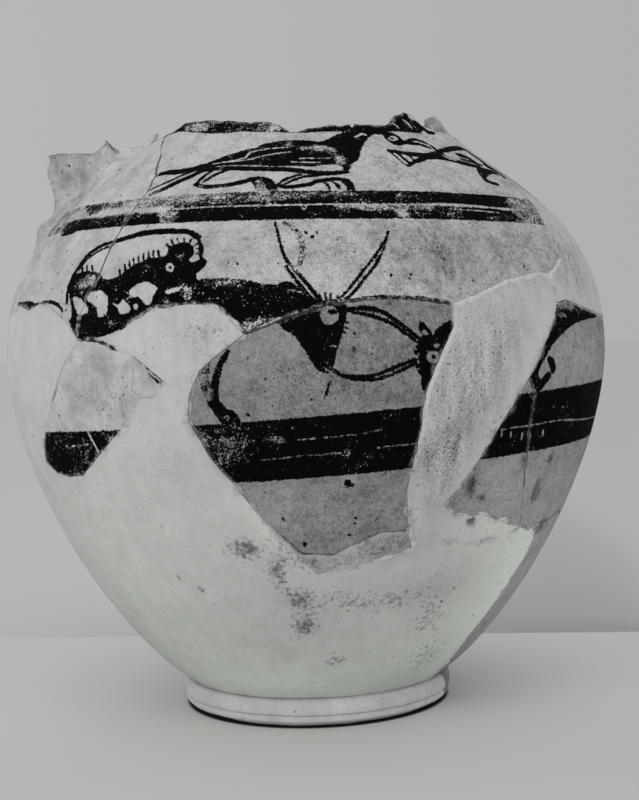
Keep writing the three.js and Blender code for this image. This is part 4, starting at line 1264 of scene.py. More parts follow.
# %% The middle band's lines
MIDDLE_BAND_LINES = [
    ("worn area", 0, [(-6.6, 191.3), (-3.6, 191.3), (-3.3, 189.6), (-3.8, 188.2), (-6.3, 188.2)]),
    ("bare line", 0.6, [(-1.4, 189.5), (1.4, 190.1), (6.3, 190.9), (8.8, 191.6), (12.5, 193.3)]),
    ("bare line", 0.8, [(-7.6, 178.6), (-5.3, 179.1), (-2.8, 179.9), (0.2, 180.8), (3, 180.8),
     (5.8, 181.3)]),
    ("bare line", 0.7, [(11.9, 183), (14.8, 183.8), (17.5, 184.1), (19.2, 184.5)]),
    ("worn area", 0, [(6.2, 183.5), (7.3, 183.7), (6.8, 178.3)]),
    ("bare line", 0.9, [(34.4, 188.5), (38.6, 189), (42.5, 189.3), (45.3, 189.8), (48.3, 190.3),
     (53.6, 190), (61.8, 188.5), (74.8, 187.4)]),
    ("bare line", 1.2, [(35.8, 187.6), (35.9, 184.4)]),
    ("bare line", 1.3, [(38.1, 186.5), (38.2, 183.3)]),
    ("bare line", 1.4, [(41, 184.9), (41.1, 181.6)]),
    ("bare line", 1.5, [(43.1, 185.6), (43.2, 182.3)]),
    ("bare line", 1.6, [(46.8, 185.8), (47, 182.5)]),
    ("bare line", 1.7, [(-41, 195.1), (-40.3, 189.8), (-39.5, 182.7)]),
    ("bare line", 0.7, [(-48.4, 185.4), (-44.5, 186.4), (-41.1, 187.7)]),
    ("line", 0.7, [(-18.3, 196.3), (-16.7, 196.1), (-14.8, 196.4)]),
    ("line", 2, [(29.6, 186.5), (29.8, 184.1)]),
    ("line", 2.1, [(31.7, 193.5), (32, 192.3)]),
]

# %% The hooked shape
HOOKED_SHAPE = [
    ("area", 0, [(49.6, 260.7), (50.8, 262.5), (52.2, 262.8), (54.4, 261.5), (56.1, 259.4),
     (59.5, 257.2), (63.1, 255.2), (67.9, 253), (67.3, 251.7), (62.6, 250.9), (57.3, 249.3),
     (53.8, 246.8), (51.5, 243.9), (49.3, 240.6), (47.7, 237.2), (46.3, 233.2), (45.3, 229.8),
     (44.2, 225.9), (43.6, 221.9), (43.3, 218.4), (43.9, 216.3), (44.9, 218.2), (46, 220.6),
     (46.9, 219.6), (46.7, 216.1), (45.4, 212.8), (44.3, 209.2), (43.1, 209.4), (41.9, 212.8),
     (41, 216.5), (41.9, 221), (42.9, 224.9), (43.7, 228.9), (44.1, 232.3), (44.6, 236.3),
     (45.7, 240.9), (46.7, 244.9), (48.1, 249.5), (48.7, 254.2)]),
    ("worn area", 0, [(50.3, 260.7), (52, 261), (52.9, 258.8), (50.9, 257.1)]),
    ("worn area", 0, [(53.7, 259.4), (55.5, 257.9), (53.8, 256.4)]),
    ("worn area", 0, [(50.1, 255.3), (51.5, 255.9), (51.7, 253.5), (50.3, 253)]),
    ("area", 0, [(45.8, 229.2), (46.7, 229.6), (47.6, 227.2), (48.3, 222.9), (48.1, 220),
     (47.2, 219), (46.7, 221.4), (46.2, 224.4), (45.6, 226.9)]),
]

# %% Marks at the left
LEFT_MARKS = [
    ("area", 0, [(-67.1, 273.2), (-63.3, 273.7), (-58.7, 273.5), (-56.4, 271.4), (-56.4, 268.4),
     (-59.8, 268.2), (-64.4, 269.2)]),
    ("line", 2.2, [(-56.8, 271.2), (-53.1, 271.9), (-50.2, 271.9), (-47.6, 269.8),
     (-45.8, 266.1)]),
    ("line", 1.8, [(-38.3, 248.9), (-36.6, 247.9)]),
    ("line", 2, [(-36, 247.3), (-34.4, 246)]),
    ("line", 2.3, [(-33.7, 244.8), (-32.2, 243)]),
    ("line", 2.8, [(-28.2, 238.7), (-27.1, 236.4), (-26.2, 234.1)]),
    ("line", 2.6, [(-25.5, 231.8), (-24.4, 230.1), (-23.5, 228.3)]),
    ("area", 0, [(-43.2, 261.7), (-41.2, 256.9), (-40.3, 252.8), (-38.8, 250.4), (-39.5, 248.1),
     (-41.3, 250), (-42.7, 254.7), (-43.7, 259.4)]),
]

# %% Light between the horns' lines, and faded strokes
FADED_STROKES = [
    ("area", 0, [(62.7, 323.4), (65.9, 323), (64.3, 318.6), (62.6, 313.8), (61.5, 309.7),
     (60, 311), (59.7, 316)]),
    ("bare line", 1.1, [(-2, 286.2), (-1.3, 282.5), (-0.2, 278), (0.9, 273.1), (2, 268.1)]),
    ("bare line", 1, [(14.7, 296.2), (13.3, 290), (11.9, 284.5), (10.3, 278.5), (8.6, 272.6),
     (7.3, 268.3)]),
    ("line", 3, [(-2.7, 310.6), (-1.3, 308), (0, 303.3), (0.5, 296.9), (0.3, 290.7),
     (-0.5, 285.2)]),
    ("worn area", 0, [(-3.4, 313), (-1.2, 311.6), (0.7, 306.1), (1.6, 297.4), (1, 287.3),
     (-0.4, 281.9), (-1.4, 284.2), (-0.5, 290.8), (-0.4, 297), (-1.3, 304), (-3.4, 307.1)]),
    ("area", 0, [(0.9, 305.5), (1.6, 304.8), (1.5, 303.4), (0.9, 303.7)]),
    ("area", 0, [(1.9, 303), (2.6, 302.7), (2.6, 301), (2, 300.7)]),
    ("area", 0, [(2.9, 305.3), (3.3, 304.6), (3.2, 303.5), (2.9, 303.8)]),
    ("area", 0, [(-10, 337.3), (-7.9, 337.9), (-6.1, 334.2), (-5.5, 328.4), (-8, 328.4),
     (-8.9, 332.7)]),
    ("line", 4, [(-12, 239.4), (-13.2, 233), (-14.1, 225.4), (-14.7, 218.2), (-14.3, 212.1),
     (-13, 207), (-11.2, 202.9)]),
    ("area", 0, [(-16.2, 234.9), (-15, 237.6), (-15.1, 229.9), (-15.3, 222.1), (-14.9, 215.5),
     (-16, 213.9), (-16.7, 220), (-16.8, 227.8)]),
    ("worn area", 0, [(-16.5, 236.1), (-14.8, 238.6), (-14.8, 229.8), (-15, 221), (-14.6, 214.3),
     (-16.2, 212.2), (-17, 219), (-17.2, 227.8)]),
    ("worn area", 0, [(-9.6, 337.2), (-7.8, 337), (-6.7, 333), (-6.3, 329.1), (-8, 329.4),
     (-8.8, 332.6)]),
    ("area", 0, [(-0.7, 186.7), (-0.1, 186.7), (-0.3, 184.4), (-0.8, 184.8)]),
    ("area", 0, [(-70.8, 359.3), (-73.3, 360.7), (-64.9, 357), (-70.4, 358.3)]),
    ("area", 0, [(50.2, 260.1), (51.2, 259.8), (50.9, 258.3), (50.1, 258.7)]),
    ("area", 0, [(-1.5, 129.9), (-0.6, 129.2), (-0.6, 127.3), (-1.3, 126.8)]),
    ("area", 0, [(-5.1, 144.8), (-4.5, 144.7), (-4.6, 142.9), (-5, 143.2)]),
    ("area", 0, [(8.2, 143.7), (8.8, 143.3), (8.7, 141.8), (8.3, 142.1)]),
    ("area", 0, [(7.1, 133.6), (7.7, 133.3), (7.6, 131.9), (7.2, 132.3)]),
    ("area", 0, [(6.4, 165.8), (7.4, 165), (7.4, 161.5), (6.6, 161.3), (6.2, 163.5)]),
]

# %% Traces on the chip
CHIP_TRACES = [
    ("line", 1.6, [(-27.9, 237), (-26.4, 233), (-24.9, 229), (-23.4, 224.4)]),
    ("line", 1.2, [(-26.9, 235.8), (-25.6, 233), (-24.6, 230.1)]),
    ("line", 1.1, [(-25.9, 228.5), (-24.8, 225.6), (-23.8, 222.8)]),
]

# %% [markdown]
# ## Strokes as fields
# Each stroke becomes a smooth line through its places, and the line or area becomes a field on
# the patch, so the paint's edge lies where the brush left it, whatever the mesh. A brush is
# pressed more in the middle of a stroke than at its ends.

# %% All strokes
PAINTING = [
    *NECK_RING, *BIRD, *BIRD_HEAD_AND_FISH, *UPPER_BAND_WEAR, *BEAST, *FIRST_BULL, *SECOND_BULL,
    *LEG_AND_SPOTS, *MIDDLE_BAND_LINES, *HOOKED_SHAPE, *LEFT_MARKS, *FADED_STROKES,
    *CHIP_TRACES,
]
print("strokes:", len(PAINTING))

# %% Strokes as fields
STROKE_REACH = 3.0
STROKE_STEP = 1.5
WORN_AWAY = 0.22


def through(points, closed):
    """A smooth line through points given in degrees and height, as angle and along."""
    points = np.array(points, float)
    points = np.stack([np.radians(points[:, 0]), along_at(points[:, 1])], axis=1)
    if closed:
        points = np.concatenate([points[-1:], points, points[:2]])
    else:
        points = np.concatenate([points[:1], points, points[-1:]])
    line = []
    for a, b, c, d in zip(points, points[1:], points[2:], points[3:]):
        length = math.hypot((c[0] - b[0]) * radius_at(b[1]), c[1] - b[1])
        count = max(1, round(length / STROKE_STEP))
        t = (np.arange(count) / count)[:, None]
        bend = (2 * a - 5 * b + 4 * c - d) * t**2 + (3 * b - a - 3 * c + d) * t**3
        line.append(b + ((c - a) * t + bend) / 2)
    if not closed:
        line.append(points[-1:])
    return np.concatenate(line)


def paint(patch, ink):
    """The paint's edge and how worn it is, with every stroke that lies on this patch."""
    worn = np.zeros(patch.shape)
    for kind, width, points in PAINTING:
        closed = kind.endswith("area")
        line = patch.beside(through(points, closed))
        rows, columns, _ = patch.window(line.min(axis=0), line.max(axis=0), STROKE_REACH)
        if rows.start == rows.stop or columns.start == columns.stop:
            continue
        if closed:
            shape = patch.to_area(line, STROKE_REACH)
        else:
            press = 0.8 + 0.2 * np.sin(np.linspace(0, math.pi, len(line)))
            shape = patch.to_line(line, width * press, reach=STROKE_REACH)
        if kind.startswith("worn"):
            worn = np.maximum(worn, WORN_AWAY * ramp(-shape, -2.5, 1.5))
        elif kind.startswith("bare"):
            ink = np.maximum(ink, -shape)
        else:
            ink = np.minimum(ink, shape)
    return ink, worn


# %% [markdown]
# ## Wear, stains, and painted light and shade
# Where paint has flaked, and where the surface is darker, lighter or dirty, is given as soft
# blots: degrees, height, half width and half height in millimetres, and how much. They add up
# where they overlap, and they don't stop at a break.

# %% Blots
WEAR = [
    (-45, 329, 50, 16, 0.17), (-27, 330, 44, 8, 0.15), (0, 327, 74, 5, 0.2),
    (-7, 318, 26, 5, 0.07), (28, 314, 40, 6, 0.1), (-12, 278, 18, 6, 0.18),
    (-41, 280, 10, 8, 0.14), (56, 259, 30, 5, 0.14), (-14, 186, 20, 18, 0.16),
    (-44, 184, 25, 17, 0.1), (-16, 375, 59, 8, 0.12), (40, 377, 19, 9, 0.06),
    (4, 228, 8, 3, 0.16), (-5, 267, 16, 12, 0.06), (-10, 355, 45, 14, 0.06),
    (-12, 368, 12, 6, 0.08), (-38, 262, 26, 18, 0.05), (30, 345, 40, 8, 0.05),
    (-25, 228, 9, 12, 0.15),
]
# Tones are partly the surface's own and partly painted light and shade: the bottom is painted
# lighter, as light thrown up from the table, and the right side darker, as painted shade.
TONES_AND_PAINTED_LIGHT = [
    (34, 246, 30, 20, -0.18), (30, 218, 29, 23, -0.32), (25, 177, 18, 25, -0.4),
    (23, 145, 15, 20, -0.15), (-23, 247, 25, 17, -0.05), (-15, 249, 17, 14, -0.12),
    (-44, 112, 62, 58, 0.1), (-14, 27, 59, 32, 0.42), (31, 47, 43, 49, 0.05),
    (7, 89, 40, 25, -0.08), (33, 95, 34, 28, -0.2), (-7, 221, 22, 14, -0.05),
    (13, 211, 28, 10, -0.15), (11, 240, 23, 14, -0.1), (-6, 153, 17, 19, 0.3),
    (-6, 228, 20, 12, 0.12), (-2, 143, 34, 25, 0.1), (16, 125, 15, 10, -0.4),
    (-14, 296, 30, 18, -0.16), (4, 296, 25, 16, -0.12), (38, 155, 25, 20, 0.35),
    (59, 229, 43, 25, 0.3), (49, 221, 35, 18, 0.15), (57, 149, 60, 37, 0.25),
    (64, 88, 88, 96, 0.7), (90, 384, 14, 12, 0.7), (20, 288, 27, 22, -0.22),
    (30, 291, 28, 21, -0.2), (43, 292, 33, 23, -0.2), (61, 333, 55, 22, -0.1),
    (-47, 345, 50, 48, 0.08), (-25, 225, 6, 7, -0.12), (32, 98, 36, 21, -0.07),
    (64, 88, 35, 35, 0.14), (-7, 219, 17, 8, -0.06), (-5, 240, 14, 7, 0.08),
    (24, 177, 17, 11, -0.1), (59, 229, 25, 13, 0.07), (60, 286, 30, 30, -0.2),
]
# Most stains are the surface's own; the last one, at the right of the shoulder, darkens it as
# painted shade.
STAINS = [
    (-13, 126, 11, 8, 0.9), (-7, 110, 6, 12, 0.9), (-3, 93, 9, 8, 0.9), (-2, 75, 9, 9, 0.9),
    (7, 50, 6, 5, 0.7), (20, 89, 22, 9, 0.4), (7, 89, 24, 11, 0.3), (30, 92, 23, 18, 0.3),
    (-5, 128, 4, 10, 0.5), (-1, 117, 8, 5, 0.4), (-30, 107, 2, 1.5, 1.3),
    (-25, 99, 1.5, 1.5, 1.3), (-23, 90, 1.5, 1.5, 1.2), (4, 47, 1.5, 1.5, 1.3),
    (-30, 137, 1.5, 1.5, 1.2), (-25, 243, 1.5, 1.5, 1.3), (17, 257, 2, 2, 1.2),
    (8, 238, 2, 2, 1.3), (13, 229, 2, 2, 1.2), (30, 69, 16, 12, 0.4), (38, 44, 15, 20, 0.5),
    (-16, 252, 15, 7, 0.3), (31, 156, 4, 7, 1.4), (34, 149, 4, 3, 1.1), (43, 168, 3, 5, 1.2),
    (50, 147, 4, 8, 1.3), (33, 134, 5, 4, 1.1), (59, 122, 10, 5, 0.9), (52, 167, 3, 4, 1.0),
    (0, 294, 5, 13, 0.45), (5, 221, 7, 5, 0.6), (-35, 214, 23, 15, 0.35), (-72, 329, 16, 10, 0.5),
    (24, 281, 13, 16, 0.45), (31, 292, 17, 14, 0.35), (-44, 272, 18, 8, 0.3),
    (35, 189, 16, 19, 0.3), (61, 138, 54, 45, 0.3), (19, 169, 5, 37, 0.3), (4, 118, 34, 6, 0.35),
    (60, 288, 26, 32, 0.35),
]


BLOT_REACH = 2.2


def blots(patch, spots):
    angle, along = patch.grid()
    total = np.zeros(patch.shape)
    for degrees, height, wide, tall, amount in spots:
        x, y = patch.beside([(math.radians(degrees), along_at(height))])[0]
        reach = BLOT_REACH * max(wide, tall)
        rows, columns, r = patch.window((x, y), (x, y), reach)
        across = (angle[rows, columns] - x) * r / wide
        up = (along[rows, columns] - y) / tall
        total[rows, columns] += amount * np.exp(-across**2 - up**2)
    return total


# %% [markdown]
# ## Every piece of the wall
# The sherds lie in slow waves and carry the wheel's ripple, and their outer edge is rounded and
# chipped. The plaster was scraped by hand, which leaves other waves. It is feathered up to the
# sherds, so it stands a hair proud of them at its edge, and there is no paint on it. Pieces
# with figures get the finest grid.

# %% Relief and painted fields
DEPTHS = (0.05, 3)


def fired_relief(place, edge):
    """Depth behind the true curve: slow waves, the wheel's ripple and a worn edge."""
    waves, ripple = rough(place, 75, seed=71), rough(place, 16, seed=75, octaves=2)
    depth = 0.45 + 0.4 * waves + 0.12 * ripple
    chips = ramp(rough(place, 9, seed=81), 0.35, 0.9)
    depth = depth + 0.28 * np.exp(-(edge / 0.8) ** 2) + 0.8 * chips * np.exp(-(edge / 2.0) ** 2)
    return depth.clip(*DEPTHS)


def plaster_relief(place, edge):
    """Scraped plaster is wavier, and is feathered up to the sherds at its edge."""
    waves, scrapes = rough(place, 60, seed=91), rough(place, 18, seed=95, octaves=2)
    depth = 0.55 + 0.5 * waves + 0.16 * scrapes
    return (depth - 0.15 * np.exp(-(edge / 4.0) ** 2)).clip(*DEPTHS)


def fired_painting(patch):
    ink, worn = paint(patch, bands(patch))
    return {"ink": ink.clip(-REACH, REACH), "worn": worn + blots(patch, WEAR),
            "tone": blots(patch, TONES_AND_PAINTED_LIGHT), "stain": blots(patch, STAINS)}


def plaster_painting(patch):
    return {"tone": blots(patch, TONES_AND_PAINTED_LIGHT), "stain": blots(patch, STAINS)}


# %% Every piece of the wall
PAINTED_SPACING = 0.65
PLAIN_SPACING = 1.0
PAINTED = ["shoulder_sherd_front", "shoulder_sherd_left", "belly_sherd_centre", "belly_sherd_left",
           "belly_sherd_right_inner", "belly_sherd_right_outer", "belly_chip"]
FINISH = {"slip_pale": SLIP_PALE, "slip_worn": SLIP_WORN, "clay_dark": CLAY_DARK}
SLOT_OF = {part["node"]: part["material_slot"] for part in frame["record"]["subparts"]}
FIRED_GROW = 0.05
PLASTER_GROW = 0.14

for node in sorted(WALL_NODES):
    spacing = PAINTED_SPACING if node in PAINTED else PLAIN_SPACING
    slot = SLOT_OF[node]
    if slot == "plaster":
        wall_piece(node, spacing, PLASTER_GROW, plaster_relief, plaster_painting,
                   [PLASTER, PLASTER])
    else:
        wall_piece(node, spacing, FIRED_GROW, fired_relief, fired_painting,
                   [FINISH[slot], BROKEN])

# %% [markdown]
# ## The foot ring
# The ring is in two parts, new plaster in front and old clay behind. Both follow one rule: a
# profile swept along an arc. Geometry Nodes shape a circle into the profile with two curves,
# one for the distance from the path and one for the height, sweep it, close the ends, make the
# surface wavy and keep it above the table. The profile's points give these two in millimetres,
# from the top outwards and round.

# %% The tree of the foot ring
FOOT_RADIUS = 82.5
PROFILE_SPAN = 40.0
PATH_STEPS = 260
PROFILE_STEPS = 72
START_RADIUS = 0.01
SLOW_WAVES = 45.0
FINE_WAVES = 260.0
FOOT_PROFILE = [
    (3.7, 18.3), (6.1, 17.3), (7.7, 14.6), (8.3, 11.2), (8.1, 8.6), (7.2, 7.8), (6.5, 7.5),
    (7.1, 7.0), (7.3, 4.4), (6.4, 3.0), (1.0, 2.8), (0.0, 0.0), (-5.0, 0.0), (-8.3, 4.5),
    (-8.2, 12.4), (-7.0, 13.5), (-1.5, 13.9), (1.6, 15.4),
]


def profile_curve(graph, along, column):
    """A Float Curve through one column of the profile; 0 to 1 stands for the span in mm."""
    rows = [*FOOT_PROFILE, FOOT_PROFILE[0]]
    points = [(k / (len(rows) - 1), row[column] / PROFILE_SPAN + 0.5)
              for k, row in enumerate(rows)]
    height = graph.node("ShaderNodeFloatCurve", {"points": points}, {"Value": along})
    return (height - 0.5) * (PROFILE_SPAN / 1000)


def swept(graph, value):
    """The profile swept along its arc, with closed ends."""
    path = graph.node("GeometryNodeCurveArc", {"mode": "RADIUS"}, {
        "Resolution": PATH_STEPS, "Radius": value["Radius"],
        "Start Angle": value["Start Angle"], "Sweep Angle": value["Sweep Angle"]}, "Curve")
    path = graph.node("GeometryNodeSetCurveNormal", {"mode": "Z_UP"}, {"Curve": path})
    circle = graph.node("GeometryNodeCurvePrimitiveCircle", {"mode": "RADIUS"}, {
        "Resolution": PROFILE_STEPS, "Radius": START_RADIUS}, "Curve")
    along = graph.node("GeometryNodeSplineParameter", {}, {}, "Factor")
    shaped = graph.node("ShaderNodeCombineXYZ", {}, {
        0: profile_curve(graph, along, 0), 1: -profile_curve(graph, along, 1)})
    profile = graph.node("GeometryNodeSetPosition", {}, {"Geometry": circle, "Position": shaped})
    return graph.node("GeometryNodeCurveToMesh", {}, {
        "Curve": path, "Profile Curve": profile, "Fill Caps": True})


def made_wavy(graph, ring, value):
    """The ring pushed in and out by noise, with nothing of it below the table."""
    place = graph.node("GeometryNodeInputPosition", {}, {})
    slow = graph.node("ShaderNodeTexNoise", {"noise_dimensions": "4D"}, {
        "Vector": place, "W": value["Seed"], "Scale": SLOW_WAVES, "Detail": 3.0})
    fine = graph.node("ShaderNodeTexNoise", {"noise_dimensions": "4D"}, {
        "Vector": place, "W": value["Seed"], "Scale": FINE_WAVES, "Detail": 2.0})
    push = ((slow - 0.62) + (fine - 0.5) * 0.2) * value["Waviness"]
    normal = graph.node("GeometryNodeInputNormal", {}, {})
    offset = graph.node("ShaderNodeVectorMath", {"operation": "SCALE"}, {0: normal, "Scale": push})
    ring = graph.node("GeometryNodeSetPosition", {}, {"Geometry": ring, "Offset": offset})
    x, y, z = (graph.node("ShaderNodeSeparateXYZ", {}, {0: place}, k) for k in range(3))
    level = graph.node("ShaderNodeCombineXYZ", {}, {0: x, 1: y, 2: z.either(0.0)})
    return graph.node("GeometryNodeSetPosition", {}, {"Geometry": ring, "Position": level})


# %% The whole tree, with its named inputs
FOOT_INPUTS = {
    "Start Angle": "NodeSocketFloat", "Sweep Angle": "NodeSocketFloat",
    "Radius": "NodeSocketFloat", "Waviness": "NodeSocketFloat", "Seed": "NodeSocketFloat",
    "Material": "NodeSocketMaterial",
}


def foot_tree():
    tree = bpy.data.node_groups.new("swept_ring", "GeometryNodeTree")
    graph = Graph(tree)
    for name, kind in FOOT_INPUTS.items():
        tree.interface.new_socket(name, in_out="INPUT", socket_type=kind)
    tree.interface.new_socket("Geometry", in_out="OUTPUT", socket_type="NodeSocketGeometry")
    value = {name: graph.node("NodeGroupInput", {}, {}, name) for name in FOOT_INPUTS}
    ring = made_wavy(graph, swept(graph, value), value)
    ring = graph.node("GeometryNodeSetShadeSmooth", {}, {"Geometry": ring})
    ring = graph.node("GeometryNodeSetMaterial", {}, {
        "Geometry": ring, "Material": value["Material"]})
    ring = graph.node("GeometryNodeRealizeInstances", {}, {"Geometry": ring})
    graph.node("NodeGroupOutput", {}, {"Geometry": ring})
    return tree


FOOT_TREE = foot_tree()
print("the ring's tree has", len(FOOT_TREE.nodes), "nodes")


# %% [markdown]
# ## The two parts of the ring
# The tree runs once for each part, on an empty object, and what comes out is kept as a plain
# mesh. A fine gap is left at both seams.

# %% The two parts of the ring
def evaluated(name, tree, values):
    """The mesh that a Geometry Nodes tree makes from its named inputs."""
    seed = bpy.data.objects.new(name + "_seed", bpy.data.meshes.new(name + "_seed"))
    bpy.context.scene.collection.objects.link(seed)
    modifier = seed.modifiers.new("shape", "NODES")
    modifier.node_group = tree
    for item in tree.interface.items_tree:
        if item.in_out == "INPUT" and item.name in values:
            modifier[item.identifier] = values[item.name]
    seed.update_tag()
    graph = bpy.context.evaluated_depsgraph_get()
    mesh = bpy.data.meshes.new_from_object(seed.evaluated_get(graph))
    seed.modifiers.remove(modifier)
    bpy.data.objects.remove(seed)
    return mesh


def plain_layers(mesh, tone=0.0):
    """Paint and wear values for a piece that has none."""
    for key, value in (("ink", REACH), ("edge", REACH), ("tone", tone)):
        layer = mesh.attributes.new(key, "FLOAT", "POINT")
        layer.data.foreach_set("value", np.full(len(mesh.vertices), value, np.float32))


SEAM_RIGHT = 70.0
SEAM_LEFT = -134.0
SEAM_GAP = 0.25
FOOT_TONE = -0.04


def foot_part(node, start, sweep, material, waviness):
    """Angles are in degrees from the front towards +X; the arc starts at +X."""
    mesh = evaluated(node, FOOT_TREE, {
        "Start Angle": math.radians(start - 90 + SEAM_GAP),
        "Sweep Angle": math.radians(sweep - 2 * SEAM_GAP),
        "Radius": FOOT_RADIUS / 1000, "Waviness": waviness / 1000, "Seed": 4.0,
        "Material": material})
    mesh.name = node + "_piece"
    plain_layers(mesh, FOOT_TONE)
    return add_piece(mesh, node)


foot_part("foot_ring_front", SEAM_LEFT, SEAM_RIGHT - SEAM_LEFT,
          PLASTER, waviness=1.2)
foot_part("foot_ring_rear", SEAM_RIGHT, 360 + SEAM_LEFT - SEAM_RIGHT,
          CLAY_DARK, waviness=1.6)


# %% [markdown]
# ## The handle root
# The handle is broken off above its root. Its solid from the CAD part is joined with a collar
# of clay that was wiped down onto the shoulder: a skin on the wall that rises towards the
# handle. Both are turned into small even cells and smoothed.

# %% The collar and the even cells
COLLAR_REACH = 24.0
COLLAR_RISE = 10.0
COLLAR_FALL = 2.2
COLLAR_SINK = 1.0
COLLAR_ROOT = 4.0
COLLAR_ANGLES = np.radians(np.arange(-132, -48, 0.7))
COLLAR_ALONGS = np.arange(along_at(275), along_at(386), 2.0)


def collar(node):
    """A closed skin on the wall round the handle, as places in mm and four-sided faces."""
    tree = BVHTree.FromPolygons(*(values.tolist() for values in mesh_arrays(node)))
    angle, along = np.meshgrid(COLLAR_ANGLES, COLLAR_ALONGS)
    base = on_wall(angle, along)
    flat = [tree.find_nearest(place)[3] for place in base.reshape(-1, 3)]
    away = np.array(flat).reshape(angle.shape)
    rise = COLLAR_RISE * (1 - away / COLLAR_REACH).clip(0, 1) ** COLLAR_FALL - COLLAR_SINK
    top, low = on_wall(angle, along, -rise), on_wall(angle, along, COLLAR_ROOT)
    rows, columns = angle.shape
    index = np.arange(rows * columns).reshape(rows, columns)
    used = away[:-1, :-1] < COLLAR_REACH
    a, b, c, d = (values[used] for values in (
        index[:-1, :-1], index[:-1, 1:], index[1:, 1:], index[1:, :-1]))
    outer = np.stack([a, b, c, d], axis=1)
    edges = np.concatenate([outer[:, [k, (k + 1) % 4]] for k in range(4)])
    known = set(map(tuple, edges.tolist()))
    rim = np.array([edge for edge in known if edge[::-1] not in known])
    under = rows * columns
    sides = np.stack([rim[:, 1], rim[:, 0], rim[:, 0] + under, rim[:, 1] + under], axis=1)
    faces = np.concatenate([outer, outer[:, ::-1] + under, sides])
    return np.concatenate([top.reshape(-1, 3), low.reshape(-1, 3)]), faces


def remeshed(name, places, faces, cell, smooth):
    """The solid in even cells, with rounded edges."""
    mesh = bpy.data.meshes.new(name)
    mesh.from_pydata((places / 1000).tolist(), [], faces)
    lump = bpy.data.objects.new(name + "_lump", mesh)
    bpy.context.scene.collection.objects.link(lump)
    remesh = lump.modifiers.new("cells", "REMESH")
    remesh.mode = "VOXEL"
    remesh.voxel_size = cell / 1000
    soften = lump.modifiers.new("soften", "SMOOTH")
    soften.iterations = smooth
    lump.update_tag()
    graph = bpy.context.evaluated_depsgraph_get()
    mesh = bpy.data.meshes.new_from_object(lump.evaluated_get(graph))
    bpy.data.objects.remove(lump)
    mesh.name = name
    return mesh


def displaced(mesh, amount):
    """Moves the corners along their normals by what amount gives for each place, in mm."""
    places = np.empty(len(mesh.vertices) * 3)
    mesh.vertices.foreach_get("co", places)
    normals = np.empty(len(mesh.vertices) * 3, np.float32)
    mesh.vertex_normals.foreach_get("vector", normals)
    places, normals = places.reshape(-1, 3), normals.reshape(-1, 3)
    places = places + normals * (amount(places * 1000) / 1000)[:, None]
    mesh.vertices.foreach_set("co", places.ravel())
    mesh.polygons.foreach_set("use_smooth", np.ones(len(mesh.polygons), bool))
    mesh.update()
    return places * 1000


# %% [markdown]
# ## Roughened clay
# The break on the handle is roughened, and the side that faces the front is painted darker and more
# stained, as painted shade. The floor of the jar keeps its shape and gets softened edges in the
# same way.

# %% The handle root and the two parts of the floor
HANDLE_BREAK = 366.0
HANDLE_CELL = 1.2
HANDLE_OUTSIDE = (125, 150)
HANDLE_SHADED = (120, 135)
FACING_FRONT = (4, 20)
WAIST_HEIGHT = 340
WAIST_REACH = 15
WAIST_DEPTH = 4.6
FLOOR_CELL = 2.0


def handle_amount(places):
    """Rough all over, more so on the break, drawn in at the waist and worn down on top."""
    height, outside = places[:, 2], ramp(-places[:, 0], *HANDLE_OUTSIDE)
    broken = ramp(height, HANDLE_BREAK - 6, HANDLE_BREAK + 2)
    waist = WAIST_DEPTH * np.exp(-((height - WAIST_HEIGHT) / WAIST_REACH) ** 2) * outside
    lumps, grit = rough(places, 14, seed=101), rough(places, 4, seed=105, octaves=2)
    return (lumps * (0.7 + 0.6 * broken) - 0.6 - waist - 2.0 * broken
            + grit * (0.2 + 0.5 * broken))


def make_handle():
    places, faces = mesh_arrays("handle_root")
    skin, skin_faces = collar("handle_root")
    faces = faces.tolist() + (skin_faces + len(places)).tolist()
    places = np.concatenate([places, skin])
    mesh = remeshed("handle_root_piece", places, faces, HANDLE_CELL, smooth=5)
    places = displaced(mesh, handle_amount)
    mesh.materials.append(SLIP_PALE)
    plain_layers(mesh)
    up = np.empty(len(places) * 3, np.float32)
    mesh.vertex_normals.foreach_get("vector", up)
    broken = ramp(up[2::3], 0.3, 0.8) * ramp(places[:, 2], HANDLE_BREAK - 3, HANDLE_BREAK)
    # Painted shade: the side that faces the front and the left is made darker and more stained.
    front = ramp(-places[:, 1], *FACING_FRONT) * ramp(-places[:, 0], *HANDLE_SHADED)
    tones_with_front_shade = 0.1 - 0.14 * broken - 0.18 * front
    painted_front_shade = 0.25 * front
    for key, values in (("tone", tones_with_front_shade), ("stain", painted_front_shade)):
        layer = mesh.attributes.get(key) or mesh.attributes.new(key, "FLOAT", "POINT")
        layer.data.foreach_set("value", values.astype(np.float32))
    return add_piece(mesh, "handle_root")


def make_floor_part(node, material):
    places, faces = mesh_arrays(node)
    mesh = remeshed(node + "_piece", places, faces.tolist(), FLOOR_CELL, smooth=2)
    displaced(mesh, lambda places: rough(places, 22, seed=121) * 0.3 - 0.35)
    mesh.materials.append(material)
    plain_layers(mesh)
    return add_piece(mesh, node)


make_handle()
make_floor_part("floor_fill", PLASTER)
make_floor_part("floor_sherd", BROKEN)

# %% [markdown]
# ## The floor
# The jar stands on a pale table, whose tone carries painted light and shade: a pool of light round
# the jar, a contact shadow under its foot and shade behind the line. The photograph shows a faint
# line where the table meets the wall behind. A real wall would stand in the way when the jar is
# looked at from behind, so the floor simply changes its tone there.

# %% The stage
WALL_LINE = (0.193, -0.121)
FLOOR_SIZE = 30.0
FLOOR_LEVEL = 0.55
PAINTED_SHADOW_RADIUS = 0.0885


